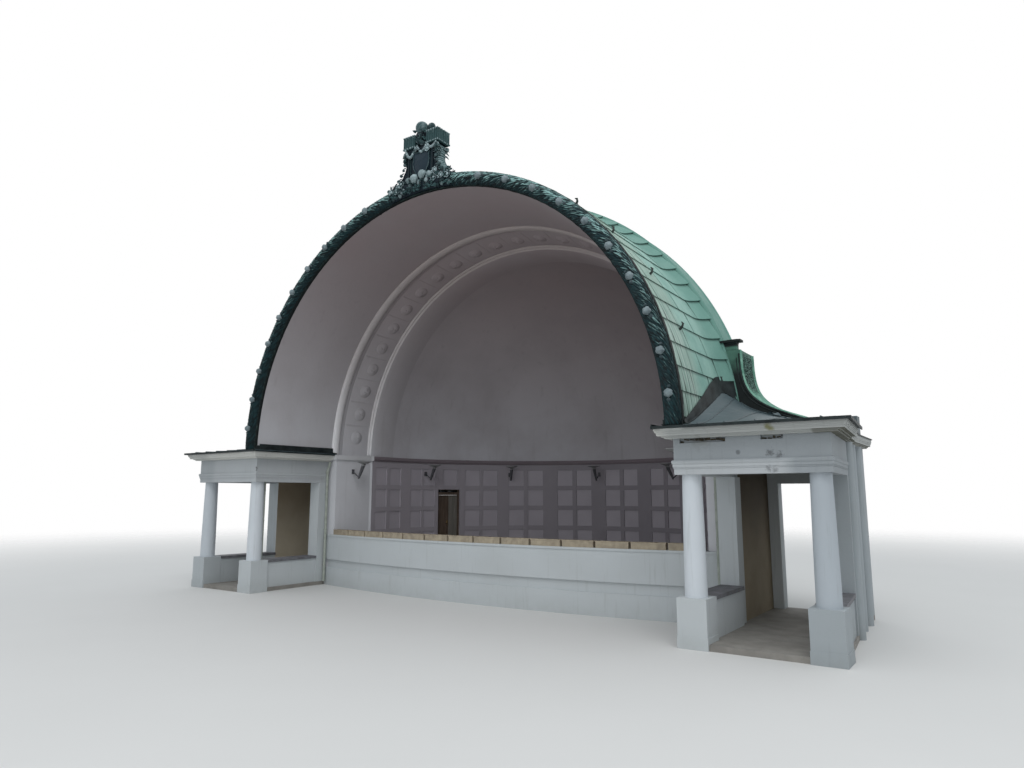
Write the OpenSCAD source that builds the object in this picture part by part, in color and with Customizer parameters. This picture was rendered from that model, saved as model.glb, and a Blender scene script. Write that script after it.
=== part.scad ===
// Open-air concert bandstand: a copper-clad half-round shell with an apse,
// a raised stage behind a curved front wall, and a columned loggia on each side.
// Millimetres, +X to the audience's right, +Y into the building, +Z up.
// The origin is on the ground, in the middle of the building's footprint.
// The modules measure Y from the face of the wings, and placed() moves them to the origin.

/* [Shell] */
// inner radius of the shell at its front rim
shell_r = 7530; // [7000:10:8000]
// inner radius of the shell where the archivolt begins
throat_r = 7370; // [6900:10:7900]
// depth of the vault from the rim to the archivolt
vault_d = 3240; // [2600:10:4000]
// outer radius of the copper skin
skin_r = 7950; // [7600:10:8300]
// height of the springing above the ground
spring_z = 4820; // [4400:10:5200]
// width of the archivolt band, measured into the building
archi_d = 1610; // [1200:10:2000]
// outer radius of the raised band behind the vault
band_r = 8200; // [8000:10:8500]

/* [Apse] */
// inner radius of the apse
apse_r = 6950; // [6500:10:7100]
// thickness of the apse wall
apse_wall = 350; // [250:10:500]
// distance of the centre of the apse behind the front
apse_y = 6000; // [5400:10:6800]
// width of one coffer in the apse wall
coffer_w = 680; // [500:10:700]
// height of one coffer
coffer_h = 690; // [500:10:760]
// height of the top edge of the highest coffers above the ground
coffer_top = 4400; // [4200:10:4500]
// distance from one row of coffers to the next
coffer_pitch = 875; // [820:5:950]
// depth of a coffer
coffer_d = 35; // [15:5:60]
// clear width of the stage doorway
door_w = 940; // [820:10:1100]
// height of the stage doorway above the stage floor, with its fanlight
door_h = 2470; // [2400:10:2550]
// height of the door leaves
leaf_h = 2215; // [2000:5:2260]
// width of the wider leaf
leaf_w = 530; // [420:10:560]

/* [Stage] */
// height of the stage floor above the ground
stage_z = 1070; // [800:10:1300]
// height of the top of the front wall above the ground
front_z = 1840; // [1500:10:2100]
// how far the front wall bows toward the audience
bow = 800; // [200:10:1600]
// number of flower troughs on the front wall
trough_n = 14; // [8:1:18]
// length of one flower trough
trough_l = 960; // [700:10:1100]

/* [Wings] */
// clear width between the two wings
opening_w = 15300; // [14000:50:16500]
// width of one wing over its architraves
wing_w = 3360; // [3000:10:3800]
// depth of the front part of a wing
wing_d = 3900; // [3400:10:4400]
// depth of a whole wing
wing_back = 6400; // [5800:10:7000]
// how far the outer side of a wing draws in for each metre toward the back
side_taper = 0.085; // [0:0.005:0.12]
// height of the pedestals
pedestal_z = 1070; // [900:10:1200]
// height of the underside of the architrave
arch_z = 3760; // [3500:10:4000]
// height of the underside of the cornice
frieze_z = 4570; // [4400:10:4700]
// overhang of the cornice
cornice_o = 340; // [200:10:450]
// diameter of a column at its foot
col_foot = 500; // [420:5:600]
// diameter of a column at its top
col_top = 436; // [380:5:500]
// width of a pedestal
pedestal_w = 700; // [600:10:800]

/* [Rim and crest] */
// thickness of the garland along the rim
garland_t = 420; // [300:10:520]
// number of ornament balls on each half of the garland
ball_n = 10; // [6:1:10]
// angle from one ball to the next
ball_pitch = 7.49; // [7:0.01:8]
// diameter of an ornament ball
ball_d = 230; // [160:10:300]
// height of the apex ball's top above the ground
apex_z = 14780; // [14200:10:15200]

/* [Hidden] */
xi = opening_w / 2;
xo = xi + wing_w;
beam = 420;
skin_t = 50;
vault_r = skin_r - skin_t;
archi_y1 = vault_d + archi_d;
band_y0 = 3400;
band_y1 = 4600;
dome_t = 250;
sheet_t = 30;
drum_r = apse_r + apse_wall;
bow_r = (xi * xi + bow * bow) / (2 * bow);
bow_y0 = 2400;
bow_cy = bow_y0 + bow_r;
front_t = 350;
door_a = -65.5;
impost_z = 4640;
inner_wall_x = xi + beam;
garland_r = 7745;
// middle of the building's depth, which is moved onto the origin
front_y = -530;
rear_y = apse_y + apse_r + apse_wall + 60;
centre_y = (front_y + rear_y) / 2;
garland_y = -190;
door_half = asin((door_w / 2 + 52) / apse_r);
boss_n = 24;
boss_pitch = 7.335;
crest_y = -60;
crest_z = spring_z + skin_r;

// everything drawn inside is moved from the front of the wings to the origin
module placed() {
    translate([0, -centre_y, 0]) children();
}

// everything drawn inside is repeated on both sides of the axis
module both() {
    children();
    mirror([1, 0, 0]) children();
}

// block whose outer side stands the distance a off the tapered side of a wing
module tbox(x0, a, y0, y1, z0, z1) {
    translate([0, 0, z0])
        linear_extrude(z1 - z0)
            polygon([[x0, y0], [xo + a - side_taper * y0, y0], [xo + a - side_taper * y1, y1], [x0, y1]]);
}

// block between the distances a0 and a1 off the tapered side of a wing
module strip(a0, a1, y0, y1, z0, z1) {
    translate([xo, 0, z0])
        linear_extrude(z1 - z0)
            polygon([for (p = [[a0, y0], [a1, y0], [a1, y1], [a0, y1]]) [p[0] - side_taper * p[1], p[1]]]);
}

module box(x0, x1, y0, y1, z0, z1) {
    translate([x0, y0, z0]) cube([x1 - x0, y1 - y0, z1 - z0]);
}

// the top of a ball of radius r, of height h, standing on its cut face
module cap(r, h) {
    rotate_extrude($fn = 64)
        intersection() {
            translate([0, h - r]) circle(r = r, $fn = 64);
            square([r + 1, h + 1]);
        }
}

// half a turn of a profile of [radius, y] points about the shell's axis
module half_turn(pts) {
    translate([0, 0, spring_z])
        rotate([90, 0, 0])
            rotate_extrude(angle = 180, $fn = 128)
                polygon([for (p = pts) [p[0], -p[1]]]);
}

// a curved wall of the apse between two angles, 0 at the back and negative to the left
module apse_sector(a0, a1, r0, r1, z0, z1) {
    translate([0, apse_y, z0])
        rotate([0, 0, 90 - a1])
            rotate_extrude(angle = a1 - a0, $fn = 128)
                translate([r0, 0]) square([r1 - r0, z1 - z0]);
}

// something placed on the inner face of the apse wall, its +Y pointing outward
module on_apse(a, z) {
    translate([0, apse_y, z])
        rotate([0, 0, -a])
            translate([0, apse_r, 0])
                children();
}

// sunk fields of the apse wall in columns at these angles, in rows down to the floor
module coffers(angles, w = coffer_w, first = 0) {
    for (a = angles)
        for (row = [first:3])
            on_apse(a, coffer_foot(row))
                translate([-w / 2, -60, 0])
                    cube([w, 60 + coffer_d, coffer_top - row * coffer_pitch - coffer_foot(row)]);
}

// height of the lower edge of a coffer, which stays clear of the stage floor
function coffer_foot(row) = max(stage_z + 120, coffer_top - row * coffer_pitch - coffer_h);

// sunk fields of the straight length of wall before the apse
module straight_coffers() {
    for (y = [archi_y1 + 230, apse_y - 115])
        for (row = [0:3])
            translate([apse_r - 60, y, coffer_foot(row)])
                cube([60 + coffer_d, 610, coffer_top - row * coffer_pitch - coffer_foot(row)]);
}

// angles of the two coffer columns that share a centre line
function pair(c, half = 3.55) = [c - half, c + half];

// Stage
module bow_ring(r_front, r_back, z0, z1) {
    intersection() {
        translate([0, bow_cy, z0])
            difference() {
                cylinder(r = r_front, h = z1 - z0, $fn = 1080);
                translate([0, 0, -1]) cylinder(r = r_back, h = z1 - z0 + 2, $fn = 1080);
            }
        box(-xi, xi, 0, 4200, z0, z1);
    }
}

module stage_front_wall() {
    placed() color("#bfc2c4")
        difference() {
            union() {
                bow_ring(bow_r, bow_r - front_t, 0, 630);
                bow_ring(bow_r - 70, bow_r - front_t, 630, 930);
                bow_ring(bow_r, bow_r - front_t, 930, front_z - 60);
                bow_ring(bow_r + 25, bow_r - front_t - 10, front_z - 60, front_z);
            }
            both() translate([0, 0, -1]) linear_extrude(front_z + 2) pier_plan(2);
        }
}

module stage_floor() {
    placed() color("#8b8781")
        difference() {
            union() {
                box(-xi, xi, 2000, archi_y1, stage_z - 160, stage_z);
                box(-apse_r + 2, apse_r - 2, archi_y1, apse_y, stage_z - 160, stage_z);
                intersection() {
                    translate([0, apse_y, stage_z - 160]) cylinder(r = apse_r - 2, h = 160, $fn = 128);
                    box(-apse_r, apse_r, apse_y, apse_y + apse_r, 0, 2000);
                }
            }
            difference() {
                box(-xi - 10, xi + 10, 1900, 3700, stage_z - 170, stage_z + 10);
                translate([0, bow_cy, 0]) cylinder(r = bow_r - front_t - 2, h = 2002, $fn = 1080);
            }
            both() translate([0, 0, stage_z - 200]) linear_extrude(300) pier_plan(2);
        }
}

// long troughs on the front wall, filled with soil to just under the rim
module flower_troughs() {
    placed() color("#96826a")
        for (i = [0:trough_n - 1]) {
            s = (i - (trough_n - 1) / 2) * (trough_l + 75);
            translate([0, bow_cy, front_z])
                rotate([0, 0, s / bow_r * 180 / PI])
                    translate([-trough_l / 2, -bow_r + 50, 0])
                        difference() {
                            union() {
                                cube([trough_l, 240, 190]);
                                translate([-8, -8, 160]) cube([trough_l + 16, 256, 30]);
                            }
                            translate([22, 22, 150]) cube([trough_l - 44, 196, 50]);
                            for (k = [1:4])
                                translate([k * trough_l / 5 - 8, -1, 20]) cube([16, 7, 125]);
                        }
        }
}

// Apse and archivolt
// plan of the pier between the vault and the apse, grown by g on its stage side
module pier_plan(g = 0) {
    polygon([
        [7220 - g, vault_d - g], [xi + g, vault_d - g], [xi + g, archi_y1 + g],
        [apse_r - g, archi_y1 + g], [apse_r - g, archi_y1], [apse_r + 60 - g, archi_y1 - 60]
    ]);
}

module arch_piers() {
    placed() color("#b7b9bf")
        both() linear_extrude(impost_z - 1) pier_plan();
}

// the wall on the right from an angle of the apse to the archivolt, with its side coffers
module side_wall(a0) {
    difference() {
        union() {
            apse_sector(a0, 90, apse_r, drum_r, 0, impost_z - 1);
            box(apse_r, drum_r, archi_y1 + 1, apse_y, 0, impost_z - 1);
        }
        coffers(pair(76.3, 2.8), 570);
        straight_coffers();
    }
}

module apse_wall_left() {
    placed() color("#6d6a70") mirror([1, 0, 0]) side_wall(-door_a + door_half + 0.01);
}

module apse_wall_door_bay() {
    a0 = door_a - door_half;
    placed() color("#6d6a70")
        difference() {
            union() {
                apse_sector(a0, a0 + 2 * door_half, apse_r, drum_r, stage_z + door_h + 2, impost_z - 1);
                apse_sector(a0, a0 + 2 * door_half, apse_r, drum_r, 0, stage_z);
            }
            on_apse(door_a + 0.3, coffer_foot(0))
                translate([-coffer_w / 2, -60, 0])
                    cube([coffer_w, 60 + coffer_d, coffer_h]);
        }
}

module apse_wall_middle() {
    placed() color("#6d6a70")
        difference() {
            union() {
                apse_sector(door_a + door_half + 0.01, 0, apse_r, drum_r, 0, impost_z - 1);
                apse_sector(0, -door_a - door_half, apse_r, drum_r, 0, impost_z - 1);
            }
            coffers([for (c = [-2:2]) each pair(c * 18.1)]);
            coffers(pair(-53, 3.4));
            coffers(pair(53, 3.4));
        }
}

module apse_wall_right() {
    placed() color("#6d6a70")
        difference() {
            side_wall(-door_a - door_half + 0.01);
            coffers([-door_a]);
        }
}

module apse_cornice() {
    placed() color("#7a7780") {
        for (step = [[90, 60, 60, spring_z - 1 - impost_z], [55, 40, 30, 60], [30, 20, 0, 30]]) {
            z0 = impost_z + step[2];
            z1 = impost_z + step[3];
            apse_sector(-90, 90, apse_r - step[0], drum_r + step[1], z0, z1);
            both() box(apse_r - step[0], drum_r + step[1], archi_y1, apse_y, z0, z1);
        }
        both()
            translate([0, 0, impost_z])
                linear_extrude(spring_z - 1 - impost_z)
                    polygon([
                        [7150, vault_d - 60], [xi, vault_d - 60], [xi, archi_y1 - 1],
                        [apse_r - 90, archi_y1 - 1], [apse_r - 40, archi_y1 - 100]
                    ]);
    }
}

// jambs, head, transom bar and the closed fanlight over the leaves
module stage_door_frame() {
    placed() color("#4a3b30")
        on_apse(door_a, stage_z)
            difference() {
                translate([-door_w / 2 - 50, 60, 0]) cube([door_w + 100, 145, door_h]);
                translate([-door_w / 2, 0, -1]) cube([door_w, 300, leaf_h + 16]);
                translate([-door_w / 2, 0, leaf_h + 130]) cube([door_w, 130, door_h - leaf_h - 160]);
            }
}

// hinge barrels on the outer face of a leaf, with their plates
module door_hinges() {
    for (z = [220, 1050, 1880]) {
        translate([-3, 12, z]) cylinder(d = 20, h = 110, $fn = 32);
        translate([1, -1, z]) cube([46, 7, 110]);
    }
}

// one panelled leaf, its hinge side on the left at x 0 and its outer face at y 0
module door_leaf(w) {
    difference() {
        translate([3, -45, 0]) cube([w - 6, 45, leaf_h]);
        for (z = [[180, 900], [1090, 1960]])
            for (y = [-46, -8])
                translate([90, y, z[0]]) cube([w - 180, 9, z[1] - z[0]]);
    }
    door_hinges();
}

module stage_door_leaf() {
    placed() color("#6a5646")
        on_apse(door_a, stage_z + 10)
            translate([-door_w / 2, 205, 0]) {
                door_leaf(leaf_w);
                translate([leaf_w - 70, -75, 1010]) cube([22, 32, 22]);
                translate([leaf_w - 150, -90, 1010]) cube([102, 18, 22]);
            }
}

module stage_door_narrow_leaf() {
    placed() color("#84827c")
        on_apse(door_a, stage_z + 10)
            translate([door_w / 2, 205, 0])
                mirror([1, 0, 0]) door_leaf(door_w - leaf_w);
}

// Half dome
// quarter of a hollow ball between two angles of the compass, 0 at the left
module dome_gore(r0, r1, a0, a1) {
    translate([0, apse_y, spring_z])
        rotate([0, 0, a0])
            rotate_extrude(angle = a1 - a0, $fn = 180)
                intersection() {
                    difference() {
                        circle(r = r1, $fn = 180);
                        circle(r = r0, $fn = 180);
                    }
                    square([r1 + 10, r1 + 10]);
                }
}

// the straight length of the dome over the last of the archivolt
module dome_barrel(r0, r1) {
    half_turn([[r0, archi_y1 + 1], [r1, archi_y1 + 1], [r1, apse_y - 1], [r0, apse_y - 1]]);
}

module apse_dome_front() {
    placed() color("#5f5757") dome_barrel(apse_r, apse_r + dome_t);
}

module apse_dome_left() {
    placed() color("#5f5757") dome_gore(apse_r, apse_r + dome_t, 90.01, 180);
}

module apse_dome_right() {
    placed() color("#5f5757") dome_gore(apse_r, apse_r + dome_t, 0, 89.99);
}

module apse_roof() {
    placed() color("#66837a") {
        dome_gore(apse_r + dome_t + 2, apse_r + dome_t + sheet_t, 0, 180);
        dome_barrel(apse_r + dome_t + 2, apse_r + dome_t + sheet_t);
    }
}

module archivolt() {
    placed() color("#77727a")
        half_turn([
            [throat_r, vault_d], [throat_r - 60, vault_d + 30], [throat_r - 60, vault_d + 130],
            [throat_r - 10, vault_d + 180], [throat_r - 20, vault_d + 260], [throat_r + 25, vault_d + 290],
            [throat_r - 90, archi_y1 - 340], [throat_r - 150, archi_y1 - 310],
            [throat_r - 150, archi_y1 - 210], [throat_r - 230, archi_y1 - 170],
            [throat_r - 230, archi_y1 - 60], [apse_r, archi_y1 - 40], [apse_r, archi_y1],
            [vault_r, archi_y1], [vault_r, vault_d]
        ]);
}

// thin frame bar on the soffit of the archivolt, along the arch from angle a0 to a1
module band_bar(a0, a1, y0, y1) {
    rise = -115 / (archi_d - 630);
    r0 = throat_r + 25 + (y0 - vault_d - 290) * rise;
    r1 = throat_r + 25 + (y1 - vault_d - 290) * rise;
    translate([0, 0, spring_z])
        rotate([0, a1 - 90, 0])
            rotate([90, 0, 0])
                rotate_extrude(angle = a1 - a0, $fn = 128)
                    polygon([[r0 - 3, -y0], [r1 - 3, -y1], [r1 - 21, -y1], [r0 - 21, -y0]]);
}

// bosses in square frames along the soffit of the archivolt
module archivolt_bosses() {
    placed() color("#7d7880")
        for (i = [0:boss_n - 1]) {
            a = (i - (boss_n - 1) / 2) * boss_pitch;
            translate([0, vault_d + archi_d / 2 - 20, spring_z])
                rotate([0, a, 0])
                    translate([0, 0, throat_r - 52])
                        rotate([-5.1, 0, 0])
                            mirror([0, 0, 1]) cap(480, 88);
            for (y = [vault_d + 390, vault_d + archi_d - 450])
                band_bar(a - 3.1, a + 3.1, y, y + 28);
            for (side = [-3.1, 2.88])
                band_bar(a + side, a + side + 0.22, vault_d + 419, vault_d + archi_d - 451);
        }
}

// Shell
module shell_vault() {
    placed() color("#8d8a92")
        half_turn([[shell_r, -100], [vault_r, -100], [vault_r, vault_d], [throat_r, vault_d]]);
}

module shell_copper() {
    placed() color("#6f9d8e")
        half_turn(concat(
            [[vault_r, -60], [skin_r, -60], [skin_r, 2650]],
            [for (t = [0.2:0.2:1]) [skin_r + 210 * t * t, 2650 + 750 * t]],
            [[vault_r, band_y0]]
        ));
}

module ridge_band() {
    placed() color("#5d8c80")
        half_turn([
            [vault_r, band_y0 + 1], [band_r - 38, band_y0 + 1],
            [band_r + 12, band_y0 + 20], [band_r + 12, band_y0 + 110],
            [band_r - 18, band_y0 + 140], [band_r - 18, band_y0 + 190],
            [band_r, band_y0 + 210], [band_r, band_y1 - 210],
            [band_r - 18, band_y1 - 190], [band_r - 18, band_y1 - 140], [band_r + 12, band_y1 - 110],
            [band_r + 12, band_y1 - 20], [band_r - 10, band_y1], [vault_r, band_y1]
        ]);
}

module rim_fascia() {
    placed() color("#3d6a60")
        half_turn([
            [shell_r, -100], [shell_r, -200], [shell_r + 35, -200], [shell_r + 35, -130], [skin_r + 60, -130],
            [skin_r + 60, 20], [skin_r, 40], [skin_r, -60], [vault_r, -60], [vault_r, -100]
        ]);
}

// the thick leaf roll along the rim, as a half ring of round section
module rim_garland() {
    placed() color("#28373c")
        translate([0, garland_y, spring_z])
            rotate([90, 0, 0])
                for (side = [0, 1])
                    rotate([0, side * 180, 0])
                        rotate_extrude(angle = 81, $fn = 192)
                            intersection() {
                                translate([garland_r, 0]) circle(d = garland_t, $fn = 48);
                                translate([shell_r + 37, side == 0 ? -58 : -362]) square([600, 420]);
                            }
}

module garland_balls() {
    placed() color("#4d5c60")
        both()
            for (i = [0:ball_n - 1])
                translate([0, garland_y - garland_t / 2, spring_z])
                    rotate([0, 16.9 + i * ball_pitch, 0])
                        translate([0, 0, garland_r])
                            rotate([90, 0, 0]) cap(ball_d / 2, ball_d / 2 + 15);
}

// Crest
// the body of the crest: a base that rides over the rim, and the stepped block on it
module crest_pedestal() {
    placed() color("#35504b")
        translate([0, crest_y, 0]) {
            intersection() {
                box(-1180, 1180, -330, -74, crest_z - 460, crest_z + 150);
                translate([0, 0, spring_z])
                    rotate([90, 0, 0])
                        difference() {
                            cylinder(r = skin_r + 330, h = 330, $fn = 128);
                            translate([0, 0, -1])
                                cylinder(r = garland_r - garland_t / 2 + 33, h = 332, $fn = 128);
                        }
            }
            intersection() {
                box(-1180, 1180, -74, 330, crest_z - 100, crest_z + 180);
                translate([0, 330, spring_z])
                    rotate([90, 0, 0])
                        difference() {
                            cylinder(r = skin_r + 330, h = 404, $fn = 128);
                            translate([0, 0, -1]) cylinder(r = skin_r + 63, h = 406, $fn = 128);
                        }
            }
            box(-640, 640, -250, 250, crest_z + 180, crest_z + 700);
            box(-540, 540, -220, 220, crest_z + 700, crest_z + 1250);
            box(-600, 600, -260, 260, crest_z + 1250, crest_z + 1300);
            box(-640, 640, -300, 300, crest_z + 1300, crest_z + 1420);
        }
}

module crest_shield() {
    placed() color("#4a6a63")
        translate([0, crest_y - 251, crest_z + 660])
            rotate([90, 0, 0])
                difference() {
                    linear_extrude(110) shield_outline(0);
                    translate([0, 0, 80]) linear_extrude(40) shield_outline(-55);
                }
}

// bare shield, pointed below, with its edge moved out by g
module shield_outline(g) {
    offset(delta = g)
        hull() {
            translate([0, -420]) circle(r = 60, $fn = 32);
            translate([0, 160]) circle(r = 300, $fn = 32);
            translate([-260, 430]) circle(r = 60, $fn = 32);
            translate([260, 430]) circle(r = 60, $fn = 32);
        }
}

module crest_scrolls() {
    placed() color("#3c5a54")
        difference() {
            both() {
                translate([640, crest_y + 180, crest_z + 182])
                    rotate([90, 0, 0])
                        linear_extrude(360)
                            polygon(concat(
                                [for (t = [0:0.1:1]) [620 * pow(1 - t, 2.2) + 2, 980 * t]],
                                [[-60, 980], [-60, 0]]
                            ));
                translate([970, crest_y + 200, crest_z + 374])
                    rotate([90, 0, 0]) cylinder(r = 190, h = 400, $fn = 48);
                translate([600, crest_y + 200, crest_z + 1090])
                    rotate([90, 0, 0]) cylinder(r = 150, h = 400, $fn = 48);
            }
            box(-642, 642, -400, 400, crest_z, crest_z + 702);
            box(-542, 542, -400, 400, crest_z + 700, crest_z + 1252);
        }
}

module crest_ball() {
    placed() color("#3f5e58")
        translate([0, crest_y, 0])
            rotate_extrude($fn = 64)
                difference() {
                    union() {
                        polygon([
                            [0, crest_z + 1421], [250, crest_z + 1421], [230, crest_z + 1460],
                            [120, crest_z + 1500], [120, apex_z - 400], [0, apex_z - 400]
                        ]);
                        translate([0, apex_z - 250]) circle(r = 250, $fn = 64);
                    }
                    translate([-400, crest_z]) square([400, 3000]);
                }
}

// Lamps
// uplighter on the wall behind it: a plate, an arm down to the elbow, and a cone with a dish
module uplighter() {
    translate([-60, -18, -90]) cube([120, 14, 180]);
    translate([0, -15, 0]) rotate([120.8, 0, 0]) cylinder(d = 44, h = 446, $fn = 24);
    translate([0, -400, -230])
        rotate([30.2, 0, 0]) {
            cylinder(d1 = 90, d2 = 156, h = 600, $fn = 32);
            translate([0, 0, -40]) cylinder(d = 76, h = 60, $fn = 32);
        }
    translate([0, -715, 290])
        rotate_extrude($fn = 48)
            polygon([[0, 0], [130, 0], [232, 48], [252, 50], [252, 66], [226, 66], [124, 16], [0, 16]]);
}

module floodlights() {
    placed() color("#4b4b50") {
        for (a = [-75.2, -42.2, -8.6, 25, 58])
            on_apse(a, 4200) uplighter();
        translate([-7135 + 22, 3980, 4200]) rotate([0, 0, 90 - 7.7]) uplighter();
        translate([xi, 1850, 4120]) rotate([0, 0, -90]) uplighter();
    }
}

// Wings
module wing_floors() {
    placed() color("#8f8c86")
        both()
            difference() {
                union() {
                    tbox(xi, 0, 0, wing_d, 0, 130);
                    box(xi, xo - 410, wing_d, wing_back, 0, 130);
                }
                for (x = [xi + 300, xo - 300])
                    box(x - pedestal_w / 2 - 1, x + pedestal_w / 2 + 1, -60, 301 + pedestal_w / 2, -1, 131);
            }
}

// foot, body and cap of one pedestal
// one plain pedestal with a slightly wider foot
module pedestal() {
    w = pedestal_w / 2;
    box(-w, w, -w, w, 0, 260);
    box(-w + 12, w - 12, -w + 12, w - 12, 260, pedestal_z);
}

module pedestals() {
    placed() color("#c4c6c6")
        both()
            for (x = [xi + 300, xo - 300])
                translate([x, 300, 0]) pedestal();
}

// plain round columns, drawn in a little toward the top
module columns() {
    placed() color("#ced0d2")
        both()
            for (x = [xi + 300, xo - 300])
                translate([x, 300, pedestal_z])
                    rotate_extrude($fn = 64) polygon(column_profile());
}

function column_profile() = let (h = arch_z - pedestal_z, f = col_foot / 2, t = col_top / 2) concat(
    [[0, 0]], [for (k = [0:8]) [f + (t - f) * pow(k / 8, 1.5), h * k / 8]], [[0, h]]
);

// rendered walls between the pedestals and the rear part of a wing
module low_walls() {
    placed() color("#c0c2c4")
        both() {
            box(xi + 40, xi + 560, 301 + pedestal_w / 2, 2799, 130, pedestal_z - 90);
            strip(-560, -40, 301 + pedestal_w / 2, 2899, 130, pedestal_z - 90);
        }
}

module wall_copings() {
    placed() color("#5c5c60")
        both() {
            box(xi, xi + 600, 301 + pedestal_w / 2, 2799, pedestal_z - 90, pedestal_z);
            strip(-600, 0, 301 + pedestal_w / 2, 2899, pedestal_z - 90, pedestal_z);
        }
}

module inner_piers() {
    placed() color("#b9bcc0")
        both() box(xi, xi + 480, 2800, vault_d, 130, arch_z);
}

module inner_walls() {
    placed() color("#9a9894")
        both() box(xi, inner_wall_x, vault_d, wing_back, 130, frieze_z);
}

module outer_walls() {
    placed() color("#b5b5b3")
        both() {
            tbox(xo - 810, 0, 2900, wing_d, 130, frieze_z);
            box(xo - 810, xo - 410, wing_d, wing_back, 130, frieze_z);
        }
}

module half_columns() {
    placed() color("#cccdce")
        both()
            for (y = [3250, 4450, 5350])
                translate([y < wing_d ? xo - side_taper * y + 1 : xo - 410, y, 0])
                    rotate([0, 0, y < wing_d ? atan(side_taper) : 0])
                        intersection() {
                            cylinder(r = 130, h = frieze_z, $fn = 48);
                            translate([0, -200, 0]) cube([200, 400, frieze_z]);
                        }
}

module rear_walls() {
    placed() color("#a3a19c")
        both()
            difference() {
                box(inner_wall_x, xo - 810, 6000, wing_back, 130, frieze_z);
                box(inner_wall_x + 290, inner_wall_x + 1570, 5900, wing_back + 100, 0, 3630);
            }
}

// architrave, moulding and frieze of one loggia, with its ceiling
// architrave, moulding and frieze of one loggia, with its ceiling
module entablature() {
    difference() {
        union() {
            tbox(xi, 0, 0, 2900, arch_z, frieze_z - 1);
            tbox(xi - 25, 25, -25, 2900, arch_z + 165, arch_z + 265);
            tbox(xi - 12, 12, -12, 2900, arch_z + 135, arch_z + 165);
            box(inner_wall_x + 1, xo - 811, 2900, 5999, 4170, frieze_z - 1);
        }
        tbox(xi + beam, -beam, beam, 2901, arch_z - 1, 4170);
        box(xi - 50, inner_wall_x, vault_d, 3300, arch_z - 1, frieze_z + 1);
    }
    box(xi - 25, xi, 2900, vault_d - 60, arch_z + 165, arch_z + 265);
    box(xi, xi + beam, 2900, vault_d - 1, arch_z, frieze_z - 1);
}

// the right one has two places where the plaster has dropped off at the top of the frieze
module entablatures() {
    placed() color("#b9bcc0") {
        mirror([1, 0, 0]) entablature();
        difference() {
            entablature();
            box(xi + 150, xi + 1200, -10, 70, frieze_z - 105, frieze_z + 10);
            box(xi + 1960, xi + 2420, -10, 70, frieze_z - 90, frieze_z + 10);
        }
    }
}

// outline of the cornice of one wing in plan, its overhang cut back by s
module cornice_plan(s, z0, z1) {
    o = cornice_o - s;
    tbox(xi - o, o, -o, 2400, z0, z1);
    tbox(xi - o, max(40, 200 - s), 2399, vault_d - 62, z0, z1);
    tbox(xi, max(40, 200 - s), vault_d - 63, wing_d + max(40, 200 - s), z0, z1);
    box(xi, xo - 210 - s / 2, wing_d, wing_back + max(60, 250 - s), z0, z1);
}

module cornices() {
    placed() color("#dcdddc")
        both()
            difference() {
                union() {
                    cornice_plan(190, frieze_z, frieze_z + 31);
                    cornice_plan(140, frieze_z + 30, frieze_z + 61);
                    cornice_plan(52, frieze_z + 60, frieze_z + 111);
                    cornice_plan(34, frieze_z + 110, frieze_z + 141);
                    cornice_plan(16, frieze_z + 140, frieze_z + 171);
                    cornice_plan(0, frieze_z + 170, spring_z);
                }
                box(7200, xi, vault_d - 61, 4000, impost_z - 200, spring_z + 10);
            }
}

// thin dark sheet over the cornices, and the upstand along the inner edge below the shell
module roof_edges() {
    placed() color("#3c3e3e")
        both() {
            difference() {
                union() {
                    tbox(skin_r + 80, cornice_o + 90, -cornice_o - 90, 2430, spring_z, spring_z + 25);
                    tbox(skin_r + 80, 225, 2429, wing_d + 225, spring_z, spring_z + 25);
                    box(skin_r + 80, xo - 185, wing_d + 225, wing_back + 275, spring_z, spring_z + 25);
                }
                shell_void();
            }
            // drip edge that hangs in front of the cornice
            strip(cornice_o + 62, cornice_o + 90, -cornice_o - 90, 2430, spring_z - 38, spring_z + 1);
            translate([0, -cornice_o - 90, spring_z - 38])
                tbox(xi - cornice_o - 25, cornice_o + 100, 0, 28, 0, 63);
            box(xi - cornice_o - 25, vault_in(0) - 12, -cornice_o - 64, -178, spring_z, spring_z + 25);
            translate([0, 0, spring_z]) linear_extrude(34) gutter_plan(400, -180);
            translate([0, 0, spring_z + 60]) linear_extrude(26) gutter_plan(60, -205);
            translate([0, 0, spring_z]) linear_extrude(190) gutter_plan(44, -170);
        }
}

// inner radius of the vault at a distance y behind the front
function vault_in(y) = shell_r - (shell_r - throat_r) * max(0, y + 100) / (vault_d + 100);

// strip of width w along the foot of the vault, from its front end at y
module gutter_plan(w, y) {
    polygon([
        [max(xi - cornice_o - 25, vault_in(y) - 6 - w), y], [vault_in(y) - 6, y],
        [vault_in(vault_d - 70) - 6, vault_d - 70],
        [max(xi - cornice_o - 25, vault_in(vault_d - 70) - 6 - w), vault_d - 70]
    ]);
}

// height of the roof against the shell, falling away outward
function roof_h(x) = 1100 * exp(-(x - 7650) / 320) + 850 * exp(-(x - 7650) / 2500);
// how the roof swells from the eave to the ridge
function roof_g(t) = lookup(t, [
    [0, 0], [0.07, 0.03], [0.14, 0.078], [0.25, 0.21], [0.43, 0.455],
    [0.67, 0.745], [0.82, 0.89], [0.9, 0.96], [1, 1.03]
]);
// corner k of the square of the grid at column i and row j
function grid(i, j, w) = [j * w + i, j * w + i + 1, (j + 1) * w + i + 1, (j + 1) * w + i];

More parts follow.
